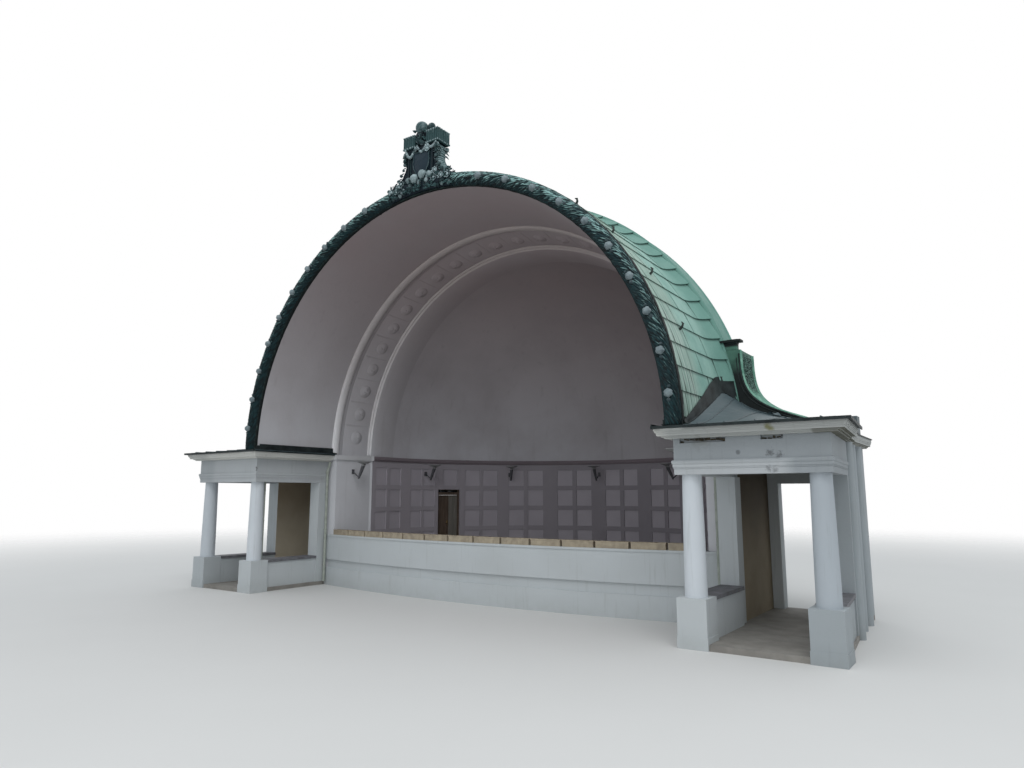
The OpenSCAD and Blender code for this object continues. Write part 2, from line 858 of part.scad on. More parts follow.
// a curved roof solid over a grid, from the eave line ya to the ridge line yb
module roof_field(x0, x1, ya, yb, base, k, taper, nx = 12, ny = 10) {
    xs = [for (i = [0:nx]) x0 + (x1 - x0) * pow(i / nx, 1.6)];
    ys = [for (j = [0:ny]) ya + (yb - ya) * j / ny];
    w = nx + 1;
    n = w * (ny + 1);
    top = [
        for (j = [0:ny])
            for (i = [0:nx])
                let (z = 12 + k * roof_h(xs[i]) * roof_g(j / ny) * (1 - 0.9 * pow(i / nx, 6)))
                    [xs[i] - taper * ys[j] * pow(i / nx, 1.6), ys[j], base + z]
    ];
    bottom = [for (p = top) [p[0], p[1], base]];
    upper = [
        for (j = [0:ny - 1])
            for (i = [0:nx - 1])
                let (g = grid(i, j, w)) each [[g[0], g[3], g[2]], [g[0], g[2], g[1]]]
    ];
    lower = [
        for (j = [0:ny - 1])
            for (i = [0:nx - 1])
                let (g = grid(i, j, w)) each [[n + g[0], n + g[2], n + g[3]], [n + g[0], n + g[1], n + g[2]]]
    ];
    rim = concat(
        [for (i = [nx:-1:0]) i],
        [for (j = [1:ny]) j * w],
        [for (i = [1:nx]) ny * w + i],
        [for (j = [ny - 1:-1:1]) j * w + nx]
    );
    m = len(rim);
    sides = [
        for (q = [0:m - 1])
            let (a = rim[q], b = rim[(q + 1) % m]) each [[b, a, n + a], [b, n + a, n + b]]
    ];
    faces = concat(upper, lower, sides);
    polyhedron(concat(top, bottom), yb < ya ? [for (f = faces) [f[2], f[1], f[0]]] : faces);
}

// the room that the shell, the band and the archivolt take up, with a little play
module shell_void() {
    flare = [for (t = [0:0.2:1]) [skin_r + 215 * t * t + 6, -(2650 + 750 * t)]];
    translate([0, 0, spring_z])
        rotate([90, 0, 0])
            rotate_extrude($fn = 360)
                polygon(concat(
                    [[0, 400], [skin_r + 70, 400], [skin_r + 70, -50], [skin_r + 6, -50]],
                    flare,
                    [[band_r + 20, -band_y0], [band_r + 20, -band_y1], [vault_r + 6, -band_y1 - 2]],
                    [[vault_r + 6, -archi_y1 - 4], [0, -archi_y1 - 4]]
                ));
}

module wing_roofs() {
    placed() color("#66757a")
        both()
            difference() {
                union() {
                    roof_field(7650, xo + 150, -cornice_o, band_y0, spring_z + 25, 1, side_taper);
                    roof_field(7650, xo - 220, wing_back + 220, band_y1, spring_z + 25, 0.45, 0, 10, 5);
                    tbox(7650, 100, band_y0 - 1, wing_d + 180, spring_z + 25, spring_z + 60);
                    box(7650, xo - 250, wing_d + 179, band_y1 + 1, spring_z + 25, spring_z + 60);
                    // low attic over the rear wall
                    box(8300, xo - 420, 5950, 6350, spring_z + 25, 5460);
                }
                shell_void();
                box(7000, 7950, -1000, 60, spring_z, spring_z + 900);
            }
}

// outer edge of the scrolled buttress at a height z
function volute_x(z) = 8235 + 1750 * exp(-pow(max(0, z - 5150) / 470, 1.25));

// scrolled buttresses that stand on the wing roofs against the raised band
module volutes() {
    outer = [for (z = [7170:-115:5100]) [volute_x(z), z]];
    placed() color("#2f4a45")
        both()
            difference() {
                union() {
                    translate([0, band_y1, 0])
                        rotate([90, 0, 0])
                            linear_extrude(band_y1 - band_y0)
                                polygon(concat(
                                    [[7700, 7170]], outer,
                                    [[10200, spring_z + 60], [7700, spring_z + 60]]
                                ));
                    // neck and cap at the front
                    box(7700, 8160, band_y0 + 30, band_y0 + 200, 7169, 7390);
                    box(7700, 8280, band_y0 - 40, band_y0 + 230, 7389, 7450);
                }
                shell_void();
            }
}

// rainwater pipes: one beside each pier with a swan neck, one behind each inner front column
module downpipes() {
    placed() color("#9da396")
        both() {
            translate([xi - 110, vault_d - 152, 130]) {
                cylinder(d = 100, h = 4040, $fn = 24);
                translate([0, 0, 4020]) cylinder(d = 126, h = 90, $fn = 24);
                translate([0, 0, 4070]) rotate([0, -22, 0]) cylinder(d = 92, h = 372, $fn = 24);
            }
            translate([xi + 330, 610, pedestal_z + 1])
                cylinder(d = 100, h = arch_z - pedestal_z - 2, $fn = 24);
        }
}

stage_front_wall();
stage_floor();
flower_troughs();
arch_piers();
apse_wall_left();
apse_wall_door_bay();
apse_wall_middle();
apse_wall_right();
apse_cornice();
stage_door_frame();
stage_door_leaf();
stage_door_narrow_leaf();
apse_dome_front();
apse_dome_left();
apse_dome_right();
apse_roof();
archivolt();
archivolt_bosses();
shell_vault();
shell_copper();
ridge_band();
rim_fascia();
rim_garland();
garland_balls();
crest_pedestal();
crest_shield();
crest_scrolls();
crest_ball();
floodlights();
wing_floors();
pedestals();
columns();
low_walls();
wall_copings();
inner_piers();
inner_walls();
outer_walls();
half_columns();
rear_walls();
entablatures();
cornices();
roof_edges();
wing_roofs();
volutes();
downpipes();
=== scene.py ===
"""Looks of an open-air concert bandstand with a copper shell and two columned wings.

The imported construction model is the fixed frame. This file gives each of its surfaces a
finish, and adds the sheet work, the ornament and the small fittings.
"""

import functools
import math
import random

import bpy
from mathutils import Euler, Matrix, Vector, noise
from mathutils.bvhtree import BVHTree


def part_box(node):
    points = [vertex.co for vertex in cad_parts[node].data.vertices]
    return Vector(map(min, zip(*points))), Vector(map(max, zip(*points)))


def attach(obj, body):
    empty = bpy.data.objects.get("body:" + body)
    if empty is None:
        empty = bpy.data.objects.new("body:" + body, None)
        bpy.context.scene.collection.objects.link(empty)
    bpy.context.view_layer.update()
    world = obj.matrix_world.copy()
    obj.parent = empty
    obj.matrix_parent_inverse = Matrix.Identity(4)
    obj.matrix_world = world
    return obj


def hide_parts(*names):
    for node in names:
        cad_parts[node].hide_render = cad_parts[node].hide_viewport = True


bl_info = {
    "name": "Bandstand looks",
    "version": (1, 0, 0),
    "blender": (4, 5, 0),
    "location": "View3D > Sidebar > Bandstand",
    "description": "Finishes, sheet work and ornament of an open-air bandstand",
    "category": "Add Mesh",
}

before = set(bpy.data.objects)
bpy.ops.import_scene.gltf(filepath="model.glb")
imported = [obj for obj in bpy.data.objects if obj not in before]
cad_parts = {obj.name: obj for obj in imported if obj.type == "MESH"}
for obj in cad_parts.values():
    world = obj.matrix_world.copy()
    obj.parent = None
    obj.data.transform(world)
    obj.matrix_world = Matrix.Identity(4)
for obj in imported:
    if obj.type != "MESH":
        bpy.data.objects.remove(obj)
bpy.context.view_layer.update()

# Places and radii in metres, most of them taken from the frame
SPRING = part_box("shell_vault")[0].z
SHELL_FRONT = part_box("shell_copper")[0].y
SHELL_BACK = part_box("shell_copper")[1].y
FLARE_DEPTH = 0.75
FLARE_RISE = 0.21
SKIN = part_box("shell_copper")[1].z - SPRING - FLARE_RISE
BAND_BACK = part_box("ridge_band")[1].y
WING_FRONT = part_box("pedestals")[0].y + 0.05
WING_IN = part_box("inner_piers")[1].x - 0.48
WING_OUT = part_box("pedestals")[1].x - 0.05
APSE_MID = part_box("apse_dome_left")[0].y
APSE_R = 6.95
DOME_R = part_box("apse_roof")[1].z - SPRING
ROOM_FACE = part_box("inner_walls")[1].x
ARCHIVOLT_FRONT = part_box("archivolt")[0].y
CORNICE_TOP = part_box("cornices")[1].z
FRIEZE_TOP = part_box("cornices")[0].z
STAGE_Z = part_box("stage_floor")[1].z
WALL_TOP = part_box("stage_front_wall")[1].z
CREST = Vector((0.0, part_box("crest_ball")[0].y + 0.25, SPRING + SKIN))
GARLAND_R = 7.745
GARLAND_Y = SHELL_FRONT - 0.13
# half the angle in degrees that the crest's saddle covers on the rim
SADDLE = 9.5

FORWARD = Vector((0, -1, 0))
UP = Vector((0, 0, 1))


def arch_point(angle, radius, y):
    """Point about the shell's axis, at an angle in degrees from the top, positive to the right."""
    a = math.radians(angle)
    return Vector((radius * math.sin(a), y, SPRING + radius * math.cos(a)))


def skin_radius(y):
    """Outer radius of the shell at y, with its flare up to the raised band."""
    t = max(0.0, (y - (SHELL_BACK - FLARE_DEPTH)) / FLARE_DEPTH)
    return SKIN + FLARE_RISE * t * t


def spread(start, end, steps):
    """Evenly spaced values from start to end, one more than the steps."""
    return [start + (end - start) * i / steps for i in range(steps + 1)]


def stations(start, end, pitch):
    """Values from start to end that are about a pitch apart, three or more."""
    return spread(start, end, max(2, round((end - start) / pitch)))


def turned(*degrees):
    """A turn by angles about X, Y and Z."""
    return Euler([math.radians(a) for a in degrees]).to_matrix()


class BandstandSizes(bpy.types.PropertyGroup):
    course_pitch: bpy.props.FloatProperty(
        name="Course pitch", description="Angle on the shell from one course of copper sheets to the next",
        default=math.radians(4.39), min=math.radians(3.0), max=math.radians(8.0), unit="ROTATION",
    )
    sheet_length: bpy.props.FloatProperty(
        name="Sheet length", description="Length of one copper sheet along the shell",
        default=1.22, min=0.6, max=2.4, unit="LENGTH",
    )
    lap_height: bpy.props.FloatProperty(
        name="Lap height", description="How far the lower edge of a copper sheet stands off the sheet below",
        default=0.026, min=0.004, max=0.04, unit="LENGTH",
    )
    leaf_length: bpy.props.FloatProperty(
        name="Leaf length", description="Length of one leaf of the garland on the rim",
        default=0.21, min=0.1, max=0.5, unit="LENGTH",
    )
    fruit_radius: bpy.props.FloatProperty(
        name="Fruit radius", description="Radius of the fruits set in the garland",
        default=0.112, min=0.06, max=0.12, unit="LENGTH",
    )


class BandstandColours(bpy.types.PropertyGroup):
    masonry: bpy.props.StringProperty(
        name="Masonry paint", default="#c2c8cb",
        description="Off-white paint of the wings and the stage wall, as sRGB hex",
    )
    vault: bpy.props.StringProperty(
        name="Vault paint", default="#c0c1c5",
        description="Mauve-grey distemper of the shell, as sRGB hex",
    )
    apse: bpy.props.StringProperty(
        name="Apse strips", default="#98939a",
        description="Darker strips between the sunk fields of the apse wall, as sRGB hex",
    )
    copper: bpy.props.StringProperty(
        name="Copper patina", default="#76a397",
        description="Green of the copper sheets, as sRGB hex",
    )
    ornament: bpy.props.StringProperty(
        name="Ornament patina", default="#0e181b",
        description="Dark patina in the hollows of the garland, as sRGB hex",
    )
    roof: bpy.props.StringProperty(
        name="Wing roof", default="#404f54",
        description="Blue-grey of the sheet on the wing roofs, as sRGB hex",
    )


class Work:
    """Points and faces of one piece, with a tone for each sheet or leaf and, for each point, a share of wear
    and painted light: dirt and painted shade on the copper, pale verdigris and painted highlight on the
    ornament.
    """

    def __init__(self):
        self.points, self.faces, self.tone, self.wear_and_painted_light = [], [], [], []

    def add(self, points, faces, tone=0.5, wear_and_painted_light=0.0):
        start, count = len(self.points), len(points)
        self.points += [Vector(p) for p in points]
        self.faces += [tuple(start + i for i in face) for face in faces]
        self.tone += [tone] * count
        self.wear_and_painted_light += list(wear_and_painted_light) if isinstance(wear_and_painted_light, (list, tuple)) else [wear_and_painted_light] * count

    def sheet(self, rows, tone=0.5, wear_and_painted_light=0.0, loop=False, lids=0):
        """A sheet through rows of points. Loop makes each row a ring, and lids of 1 or -1 close both ends."""
        n = len(rows[0])
        faces = [
            (j * n + i, j * n + (i + 1) % n, (j + 1) * n + (i + 1) % n, (j + 1) * n + i)
            for j in range(len(rows) - 1)
            for i in range(n if loop else n - 1)
        ]
        end = len(rows) * n
        if lids:
            faces += [tuple(range(n))[::lids], tuple(range(end - n, end))[::-lids]]
        self.add([p for row in rows for p in row], faces, tone, wear_and_painted_light)

    def lid(self, row, tone=0.0, wear_and_painted_light=0.0, flip=False):
        """One flat face through a row of points."""
        self.add(row, [tuple(range(len(row)))[::-1 if flip else 1]], tone, wear_and_painted_light)

    def tube(self, path, radius, sides=8, tone=0.5, wear_and_painted_light=0.5, up=Vector((0, 1, 0))):
        """A tube along a path, closed at both ends. The radius may be one for each point."""
        radii = radius if isinstance(radius, (list, tuple)) else [radius] * len(path)
        turns = [2 * math.pi * i / sides for i in range(sides)]
        rings = []
        for k, p in enumerate(path):
            run = (path[min(k + 1, len(path) - 1)] - path[max(k - 1, 0)]).normalized()
            side = run.cross(up)
            side = side.normalized() if side.length > 1e-4 else run.orthogonal().normalized()
            lift = side.cross(run)
            rings.append([p + (side * math.cos(t) + lift * math.sin(t)) * radii[k] for t in turns])
        self.sheet(rings, tone, wear_and_painted_light, loop=True, lids=-1)

    def fruit(self, middle, size, turn=Matrix(), lobes=0, depth=0.1, tone=0.5, wear_and_painted_light=0.7, rings=9, sides=16):
        """A round fruit, grooved from pole to pole along the turned +Z. Its size may be one for each axis."""
        size = Vector(size) if isinstance(size, tuple) else Vector((size, size, size))
        rows = []
        for j in range(1, rings):
            t = math.pi * j / rings
            row = []
            for i in range(sides):
                a = 2 * math.pi * i / sides
                swell = 1 - depth * abs(math.sin(lobes * a / 2)) ** 3 * math.sin(t) if lobes else 1
                reach = math.sin(t) * swell
                local = Vector((reach * math.cos(a), reach * math.sin(a), math.cos(t)))
                row.append(middle + turn @ (local * size))
            rows.append(row)
        first, last = len(self.points), len(self.points) + sides * (rings - 2)
        self.sheet(rows, tone, wear_and_painted_light, loop=True)
        for z, ring in ((1, first), (-1, last)):
            pole = len(self.points)
            self.add([middle + turn @ Vector((0, 0, z * size.z))], [], tone, wear_and_painted_light)
            for i in range(sides):
                a, b = ring + i, ring + (i + 1) % sides
                self.faces.append((pole, a, b) if z > 0 else (pole, b, a))

    def block(self, low, high, turn=Matrix(), tone=0.5, wear_and_painted_light=0.3):
        """A block between two corners, turned about its middle."""
        low, high = Vector(low), Vector(high)
        middle = (low + high) / 2
        corners = [Vector((x, y, z)) for z in (low.z, high.z) for y in (low.y, high.y) for x in (low.x, high.x)]
        faces = [(0, 2, 3, 1), (4, 5, 7, 6), (0, 1, 5, 4), (2, 6, 7, 3), (0, 4, 6, 2), (1, 3, 7, 5)]
        self.add([middle + turn @ (c - middle) for c in corners], faces, tone, wear_and_painted_light)

    def leaf(self, root, along, out, length, width, curl=0.25, tone=0.5, steps=5, bright=1.0):
        """A creased leaf that runs along from its root and curls out at its tip. Bright scales its wear and
        painted light.
        """
        along, out = along.normalized(), out.normalized()
        across = along.cross(out).normalized()
        rows, wear_and_painted_light = [], []
        for t in spread(0, 1, steps):
            half = width / 2 * math.sin(math.pi * min(1, 0.12 + 0.88 * t) ** 0.8) + 0.002
            spine = root + along * (length * t * (1 - 0.2 * curl * t)) + out * (length * curl * t * t)
            ridge = out * (0.18 * half)
            rows.append([
                spine - across * half, spine + ridge - across * half * 0.5, spine - ridge,
                spine + ridge + across * half * 0.5, spine + across * half,
            ])
            # painted light: paler on the raised halves and toward the tip as painted highlight, darkest in the
            # crease as painted shade
            wear_and_painted_light += [0.25 + 0.6 * t, 0.4 + 0.5 * t, 0.05, 0.4 + 0.5 * t, 0.25 + 0.6 * t]
        self.sheet(rows, tone, [bright * worn_and_lit for worn_and_lit in wear_and_painted_light])

    def piece(self, name, material, slot, replaces=(), body="building", smooth=40, thick=0.0, bevel=0.0):
        """Makes the gathered faces one object that rides on a body."""
        mesh = bpy.data.meshes.new(name)
        mesh.from_pydata(self.points, [], self.faces)
        for label, values in (("tone", self.tone), ("wear_and_painted_light", self.wear_and_painted_light)):
            mesh.attributes.new(label, "FLOAT", "POINT").data.foreach_set("value", values)
        mesh.polygons.foreach_set("use_smooth", [smooth > 0] * len(mesh.polygons))
        if smooth:
            mesh.set_sharp_from_angle(angle=math.radians(smooth))
        mesh.materials.append(finish(material))
        mesh.validate()
        piece = bpy.data.objects.new(name, mesh)
        bpy.context.scene.collection.objects.link(piece)
        if thick:
            shell = piece.modifiers.new("thickness", "SOLIDIFY")
            shell.thickness, shell.offset = thick, -1
        if bevel:
            edge = piece.modifiers.new("worn edge", "BEVEL")
            edge.width, edge.segments, edge.limit_method = bevel, 2, "ANGLE"
        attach(piece, body)
        if replaces:
            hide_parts(*replaces)


def linear(code):
    """An sRGB hex colour as linear RGBA."""
    parts = [int(code.lstrip("#")[i : i + 2], 16) / 255 for i in (0, 2, 4)]
    return tuple(c / 12.92 if c <= 0.04045 else ((c + 0.055) / 1.055) ** 2.4 for c in parts) + (1.0,)


# makes a Mix node mix colours
TINT = {"data_type": "RGBA"}


def put(tree, kind, *values, stops=(), **named):
    """Adds a node. Values fill its live inputs in order, a capital name is an input, a small one a setting."""
    node = tree.nodes.new("ShaderNode" + kind)
    for name in [name for name in named if name.islower()]:
        setattr(node, name, named.pop(name))
    live = [socket for socket in node.inputs if socket.enabled]
    given = list(zip(live, values))
    for name, value in named.items():
        given.append((next(s for s in live if s.name == name.replace("_", " ")), value))
    for socket, value in given:
        if isinstance(value, bpy.types.Node):
            value = next(s for s in value.outputs if s.enabled)
        if isinstance(value, bpy.types.NodeSocket):
            tree.links.new(value, socket)
        else:
            socket.default_value = linear(value) if isinstance(value, str) else value
    for i, (place, code) in enumerate(stops):
        stop = node.color_ramp.elements[i] if i < 2 else node.color_ramp.elements.new(place)
        stop.position, stop.color = place, linear(code)
    return node


def begin(name):
    """A new material, the function that adds its nodes, and the place on the piece in metres."""
    material = bpy.data.materials.new(name)
    material.use_nodes = True
    material.node_tree.nodes.clear()
    add = functools.partial(put, material.node_tree)
    return material, add, add("TexCoord").outputs["Object"]


def dry(material, add, colour, roughness, grain, strength, depth, metallic=0.0, gloss=0.5):
    """Ends a material: its colour, its roughness and a relief of a depth in metres."""
    relief = add("Bump", Height=grain, Strength=strength, Distance=depth)
    shader = add(
        "BsdfPrincipled", Base_Color=colour, Roughness=roughness, Metallic=metallic, Specular_IOR_Level=gloss,
        Normal=relief,
    )
    add("OutputMaterial", Surface=shader)
    return material


def damp_render_and_painted_shade(add, where, low_tones, high_tones):
    """Colour of lime render that has never been repainted: beige below and darker brown under the ceiling, as
    damp stain and painted shade.
    """
    height = add("SeparateXYZ", where).outputs["Z"]
    rise = add("MapRange", height, 1.2, 3.6, interpolation_type="SMOOTHSTEP")
    clouds = add("TexNoise", where, Scale=1.4, Detail=6.0, Roughness=0.6)
    low, high = (add("Mix", clouds, *tones, **TINT) for tones in (low_tones, high_tones))
    return add("Mix", rise, low, high, **TINT)


def brushed_masonry_paint(name, code, second, room=None):
    """Brushed masonry paint on lime render: chalky off-white, rain runs, splashed dirt at the foot.

    Room gives the two distances from the middle between which the side toward the room starts,
    and the tones of that side, which was never painted.
    """
    material, add, where = begin(name)
    # patches of about 1.4 m where the paint has weathered unevenly
    patches = add("TexNoise", where, Scale=0.7, Detail=5.0)
    colour = add("Mix", patches, code, second, **TINT)
    # rain runs 60 mm wide and 1.5 m long, wider than real so that they show from a distance
    runs = add("TexNoise", add("Mapping", where, Scale=(9.0, 9.0, 0.6)), Scale=1.0, Detail=4.0, Roughness=0.6)
    colour = add("Mix", add("MapRange", runs, 0.58, 0.8, 0.0, 0.3), colour, "#84877f", **TINT)
    # splashed dirt and algae in the lowest 0.5 m
    x, _, z = add("SeparateXYZ", where).outputs
    mottle = add("TexNoise", where, Scale=5.0, Detail=6.0)
    splash = add("Math", add("MapRange", z, 0.5, 0.0, 0.0, 0.25), mottle, operation="MULTIPLY")
    colour = add("Mix", splash, colour, "#6f7266", **TINT)
    # lichen, algae and flaked paint where water gets through the cornice
    flakes = add("TexNoise", where, Scale=16.0, Detail=4.0, Roughness=0.7)
    for spot, reach, grain, stain, strength in (
        ((9.86, WING_FRONT - 0.33, 4.68), 0.13, mottle, "#8d8a4c", 0.8),
        ((9.8, WING_FRONT, 4.62), 0.15, mottle, "#7f7c48", 0.7),
        ((9.78, WING_FRONT, 4.2), 0.12, flakes, "#66686a", 0.75),
        ((9.98, WING_FRONT, 4.14), 0.11, flakes, "#66686a", 0.7),
        ((9.75, WING_FRONT - 0.03, 3.86), 0.1, flakes, "#6c6e70", 0.7),
        ((9.88, WING_FRONT - 0.03, 3.83), 0.1, flakes, "#6c6e70", 0.7),
        ((9.12, WING_FRONT, 4.22), 0.07, mottle, "#6d7073", 0.7),
        ((8.3, WING_FRONT, 4.46), 0.3, mottle, "#8f9086", 0.4),
        ((-7.66, WING_FRONT, 4.24), 0.07, flakes, "#4c4c4a", 0.85),
        ((-7.655, WING_FRONT, 4.15), 0.06, flakes, "#4c4c4a", 0.85),
    ):
        gap = add("VectorMath", where, spot, operation="DISTANCE")
        ragged = add("Math", grain, reach * 2.4, gap, operation="MULTIPLY_ADD")
        mask = add("MapRange", ragged, reach * 2.0, reach * 1.4, 0.0, strength)
        colour = add("Mix", mask, colour, stain, **TINT)
    # painted shade: the right wing's frieze and outer corner are darkened, and the left outer corner half as
    # much
    right, high = add("MapRange", x, 7.3, 7.7), add("MapRange", z, 3.98, 4.1)
    frieze = add("Math", right, high, operation="MULTIPLY")
    corner, other_corner = add("MapRange", x, 10.0, 10.3), add("MapRange", x, -10.0, -10.3, 0.0, 0.5)
    corners = add("Math", corner, other_corner, operation="MAXIMUM")
    painted_shade = add("Math", frieze, corners, operation="MAXIMUM")
    colour = add("Mix", painted_shade, colour, "#d6d9db", blend_type="MULTIPLY", **TINT)
    # dark olive on the down-facing faces under the cornice on the right outer side: algae where the sheet lets
    # water through, and painted shade under the overhang
    facing = add("SeparateXYZ", add("NewGeometry").outputs["Normal"]).outputs["Z"]
    outward = add("MapRange", x, WING_OUT - 0.35, WING_OUT - 0.3)
    under = add("Math", z, FRIEZE_TOP + 0.03, 0.034, operation="COMPARE")
    damp = add("Math", outward, under, operation="MULTIPLY")
    down = add("MapRange", facing, 0.3, -0.3, 0.0, 0.9)
    colour = add("Mix", add("Math", damp, down, operation="MULTIPLY"), colour, "#4b4a38", **TINT)
    if room:
        # the room side: damp brown render, darkened toward the ceiling as painted shade
        start, end, *tones = room
        inside = add("MapRange", add("Math", x, operation="ABSOLUTE"), start, end)
        colour = add("Mix", inside, colour, damp_render_and_painted_shade(add, where, *tones), **TINT)
    # brush marks and render grit drawn at 25 mm and more, the real grit of 3 mm is too fine to show
    return dry(material, add, colour, 0.82, add("TexNoise", where, Scale=22.0, Detail=5.0), 0.35, 0.01)


def distempered_plaster(name, code, upper, patch, pier=None, smoke=None):
    """Distempered lime plaster: dead matt, cloudy, and browner and darker higher up as painted shade."""
    material, add, where = begin(name)
    x, y, z = add("SeparateXYZ", where).outputs
    # painted shade: the upper colour darkens the plaster toward the top of the shell
    colour = add("Mix", add("MapRange", z, 4.5, 11.5), code, upper, **TINT)
    clouds = add("TexNoise", where, Scale=0.45, Detail=6.0, Roughness=0.6)
    colour = add("Mix", add("MapRange", clouds, 0.4, 0.7, 0.0, 0.4), colour, patch, **TINT)
    # seepage lines that run down the plaster, about 0.12 m wide
    seep = add("TexNoise", add("Mapping", where, Scale=(4.0, 4.0, 0.3)), Scale=1.0, Detail=3.0)
    colour = add("Mix", add("MapRange", seep, 0.6, 0.8, 0.0, 0.25), colour, "#8a8484", **TINT)
    if smoke:
        # painted shade: the right half is darkened
        colour = add("Mix", add("MapRange", x, -4.0, 5.0), colour, smoke, blend_type="MULTIPLY", **TINT)
    if pier:
        # the length that runs over the pier is painted like the pier
        colour = add("Mix", add("MapRange", y, APSE_MID - 1.14, APSE_MID - 1.15), colour, pier, **TINT)
    float_marks = add("TexNoise", where, Scale=6.0, Detail=6.0)
    return dry(material, add, colour, 0.9, float_marks, 0.25, 0.02)


def rolled_oil_paint():
    """Oil paint rolled on the apse's plaster: dull strips, and paler sunk fields between them."""
    material, add, where = begin("apse_wall_paint")
    # distance from the middle of the apse tells a sunk field from the wall's face
    x, y, _ = add("SeparateXYZ", where).outputs
    behind = add("Math", add("Math", y, APSE_MID, operation="SUBTRACT"), 0.0, operation="MAXIMUM")
    reach = add("VectorMath", add("CombineXYZ", x, behind, 0.0), operation="LENGTH")
    clouds = add("TexNoise", where, Scale=1.3, Detail=5.0)
    colour = add("Mix", clouds, bpy.context.scene.bandstand_colours.apse, "#8b878d", **TINT)
    # painted light: on the left, which faces the opening, the strips are painted paler, toward the fields
    colour = add("Mix", add("MapRange", x, -2.0, -6.5, 0.0, 0.55), colour, "#b3adb4", **TINT)
    fields = add("Mix", clouds, "#bcb7be", "#aaa5ad", **TINT)
    colour = add("Mix", add("MapRange", reach, APSE_R + 0.024, APSE_R + 0.03), colour, fields, **TINT)
    # the outer face of the wall is plain
    colour = add("Mix", add("MapRange", reach, APSE_R + 0.28, APSE_R + 0.3), colour, "#b0b2b0", **TINT)
    return dry(material, add, colour, 0.7, add("TexNoise", where, Scale=14.0, Detail=4.0), 0.2, 0.01)


def patinated_copper():
    """Rolled copper sheet under a brochantite patina: chalky green, each sheet its own tone."""
    material, add, where = begin("patinated_copper_sheet")
    tone, wear_and_painted_light = (add("Attribute", attribute_name=name).outputs["Fac"] for name in ("tone", "wear_and_painted_light"))
    colour = add("Mix", tone, bpy.context.scene.bandstand_colours.copper, "#8db3a8", **TINT)
    # clouds of 0.5 m of a bluer patina
    clouds = add("TexNoise", where, Scale=1.6, Detail=6.0, Roughness=0.62)
    colour = add("Mix", add("MapRange", clouds, 0.42, 0.68, 0.0, 0.5), colour, "#6a958b", **TINT)
    # toward the rim the green is thinner and the sheets are a pale grey-beige
    _, y, z = add("SeparateXYZ", where).outputs
    uneven = add("Math", tone, 0.5, y, operation="MULTIPLY_ADD")
    rimward = add("MapRange", uneven, SHELL_FRONT + 1.75, SHELL_FRONT + 1.1, 0.0, 0.5)
    colour = add("Mix", rimward, colour, "#9dac9f", **TINT)
    # on the flare under the band the patina is deeper
    flared = add("MapRange", uneven, SHELL_BACK - 0.6, SHELL_BACK, 0.0, 0.7)
    colour = add("Mix", flared, colour, "#57857a", **TINT)
    # white and dark runs down the lowest part of the shell, 0.1 m wide
    runs = add("TexNoise", add("Mapping", where, Scale=(0.5, 11.0, 0.5)), Scale=1.0, Detail=4.0)
    lower = add("MapRange", z, SPRING + 4.2, SPRING + 1.2)
    near_rim = add("MapRange", y, SHELL_FRONT + 1.5, SHELL_FRONT + 0.7)
    zone = add("Math", lower, near_rim, operation="MULTIPLY")
    for start, end, code in ((0.55, 0.66, "#c3cdc9"), (0.47, 0.38, "#3d544f")):
        band = add("MapRange", runs, start, end, 0.0, 0.8)
        colour = add("Mix", add("Math", band, zone, operation="MULTIPLY"), colour, code, **TINT)
    # dirt caught in the laps and joints, and painted shade under each lap
    colour = add("Mix", wear_and_painted_light, colour, "#16231f", **TINT)
    # hand-dressed sheet is a little wavy, over about 0.3 m
    waves = add("TexNoise", where, Scale=3.2, Detail=3.0)
    return dry(material, add, colour, add("MapRange", clouds, 0.3, 0.7, 0.55, 0.8), waves, 0.3, 0.05)


def chased_copper(name, hollow, raised, crown, balance):
    """Chased copper ornament: nearly black in the hollows as patina and painted shade, pale verdigris and
    painted highlight on what stands out.
    """
    material, add, where = begin(name)
    tone, wear_and_painted_light = (add("Attribute", attribute_name=name).outputs["Fac"] for name in ("tone", "wear_and_painted_light"))
    speckle = add("TexNoise", where, Scale=7.0, Detail=6.0, Roughness=0.7)
    colour = add("Mix", tone, hollow, raised, **TINT)
    # painted light: what stands out turns pale as a painted highlight, the hollows stay dark as painted shade
    level = add("Math", speckle, 0.9, wear_and_painted_light, operation="MULTIPLY_ADD")
    colour = add("Mix", add("MapRange", level, balance, balance + 0.75), colour, crown, **TINT)
    # a porous patina gives back far less of the sky than bare metal does
    shine = add("MapRange", speckle, 0.3, 0.7, 0.42, 0.7)
    return dry(material, add, colour, shine, speckle, 0.4, 0.02, gloss=0.15)


def weathered_roof_sheet():
    """Painted zinc sheet, hand-laid: blue-grey, chalked, with paler runs down the slope."""
    material, add, where = begin("painted_zinc_sheet")
    clouds = add("TexNoise", where, Scale=1.1, Detail=6.0)
    colour = add("Mix", clouds, bpy.context.scene.bandstand_colours.roof, "#4f5e63", **TINT)
    runs = add("TexNoise", add("Mapping", where, Scale=(8.0, 0.7, 0.7)), Scale=1.0, Detail=4.0)
    colour = add("Mix", add("MapRange", runs, 0.52, 0.75, 0.0, 0.45), colour, "#4d5a5c", **TINT)
    return dry(material, add, colour, 0.5, clouds, 0.3, 0.04)


def mottled(name, first, second, roughness, scale, strength, depth, metallic=0.0, gloss=0.5):
    """A finish of two tones in patches, with a surface relief of the same grain."""
    material, add, where = begin(name)
    grain = add("TexNoise", where, Scale=scale, Detail=6.0, Roughness=0.6)
    colour = add("Mix", add("MapRange", grain, 0.35, 0.65), first, second, **TINT)
    return dry(material, add, colour, roughness, grain, strength, depth, metallic, gloss)


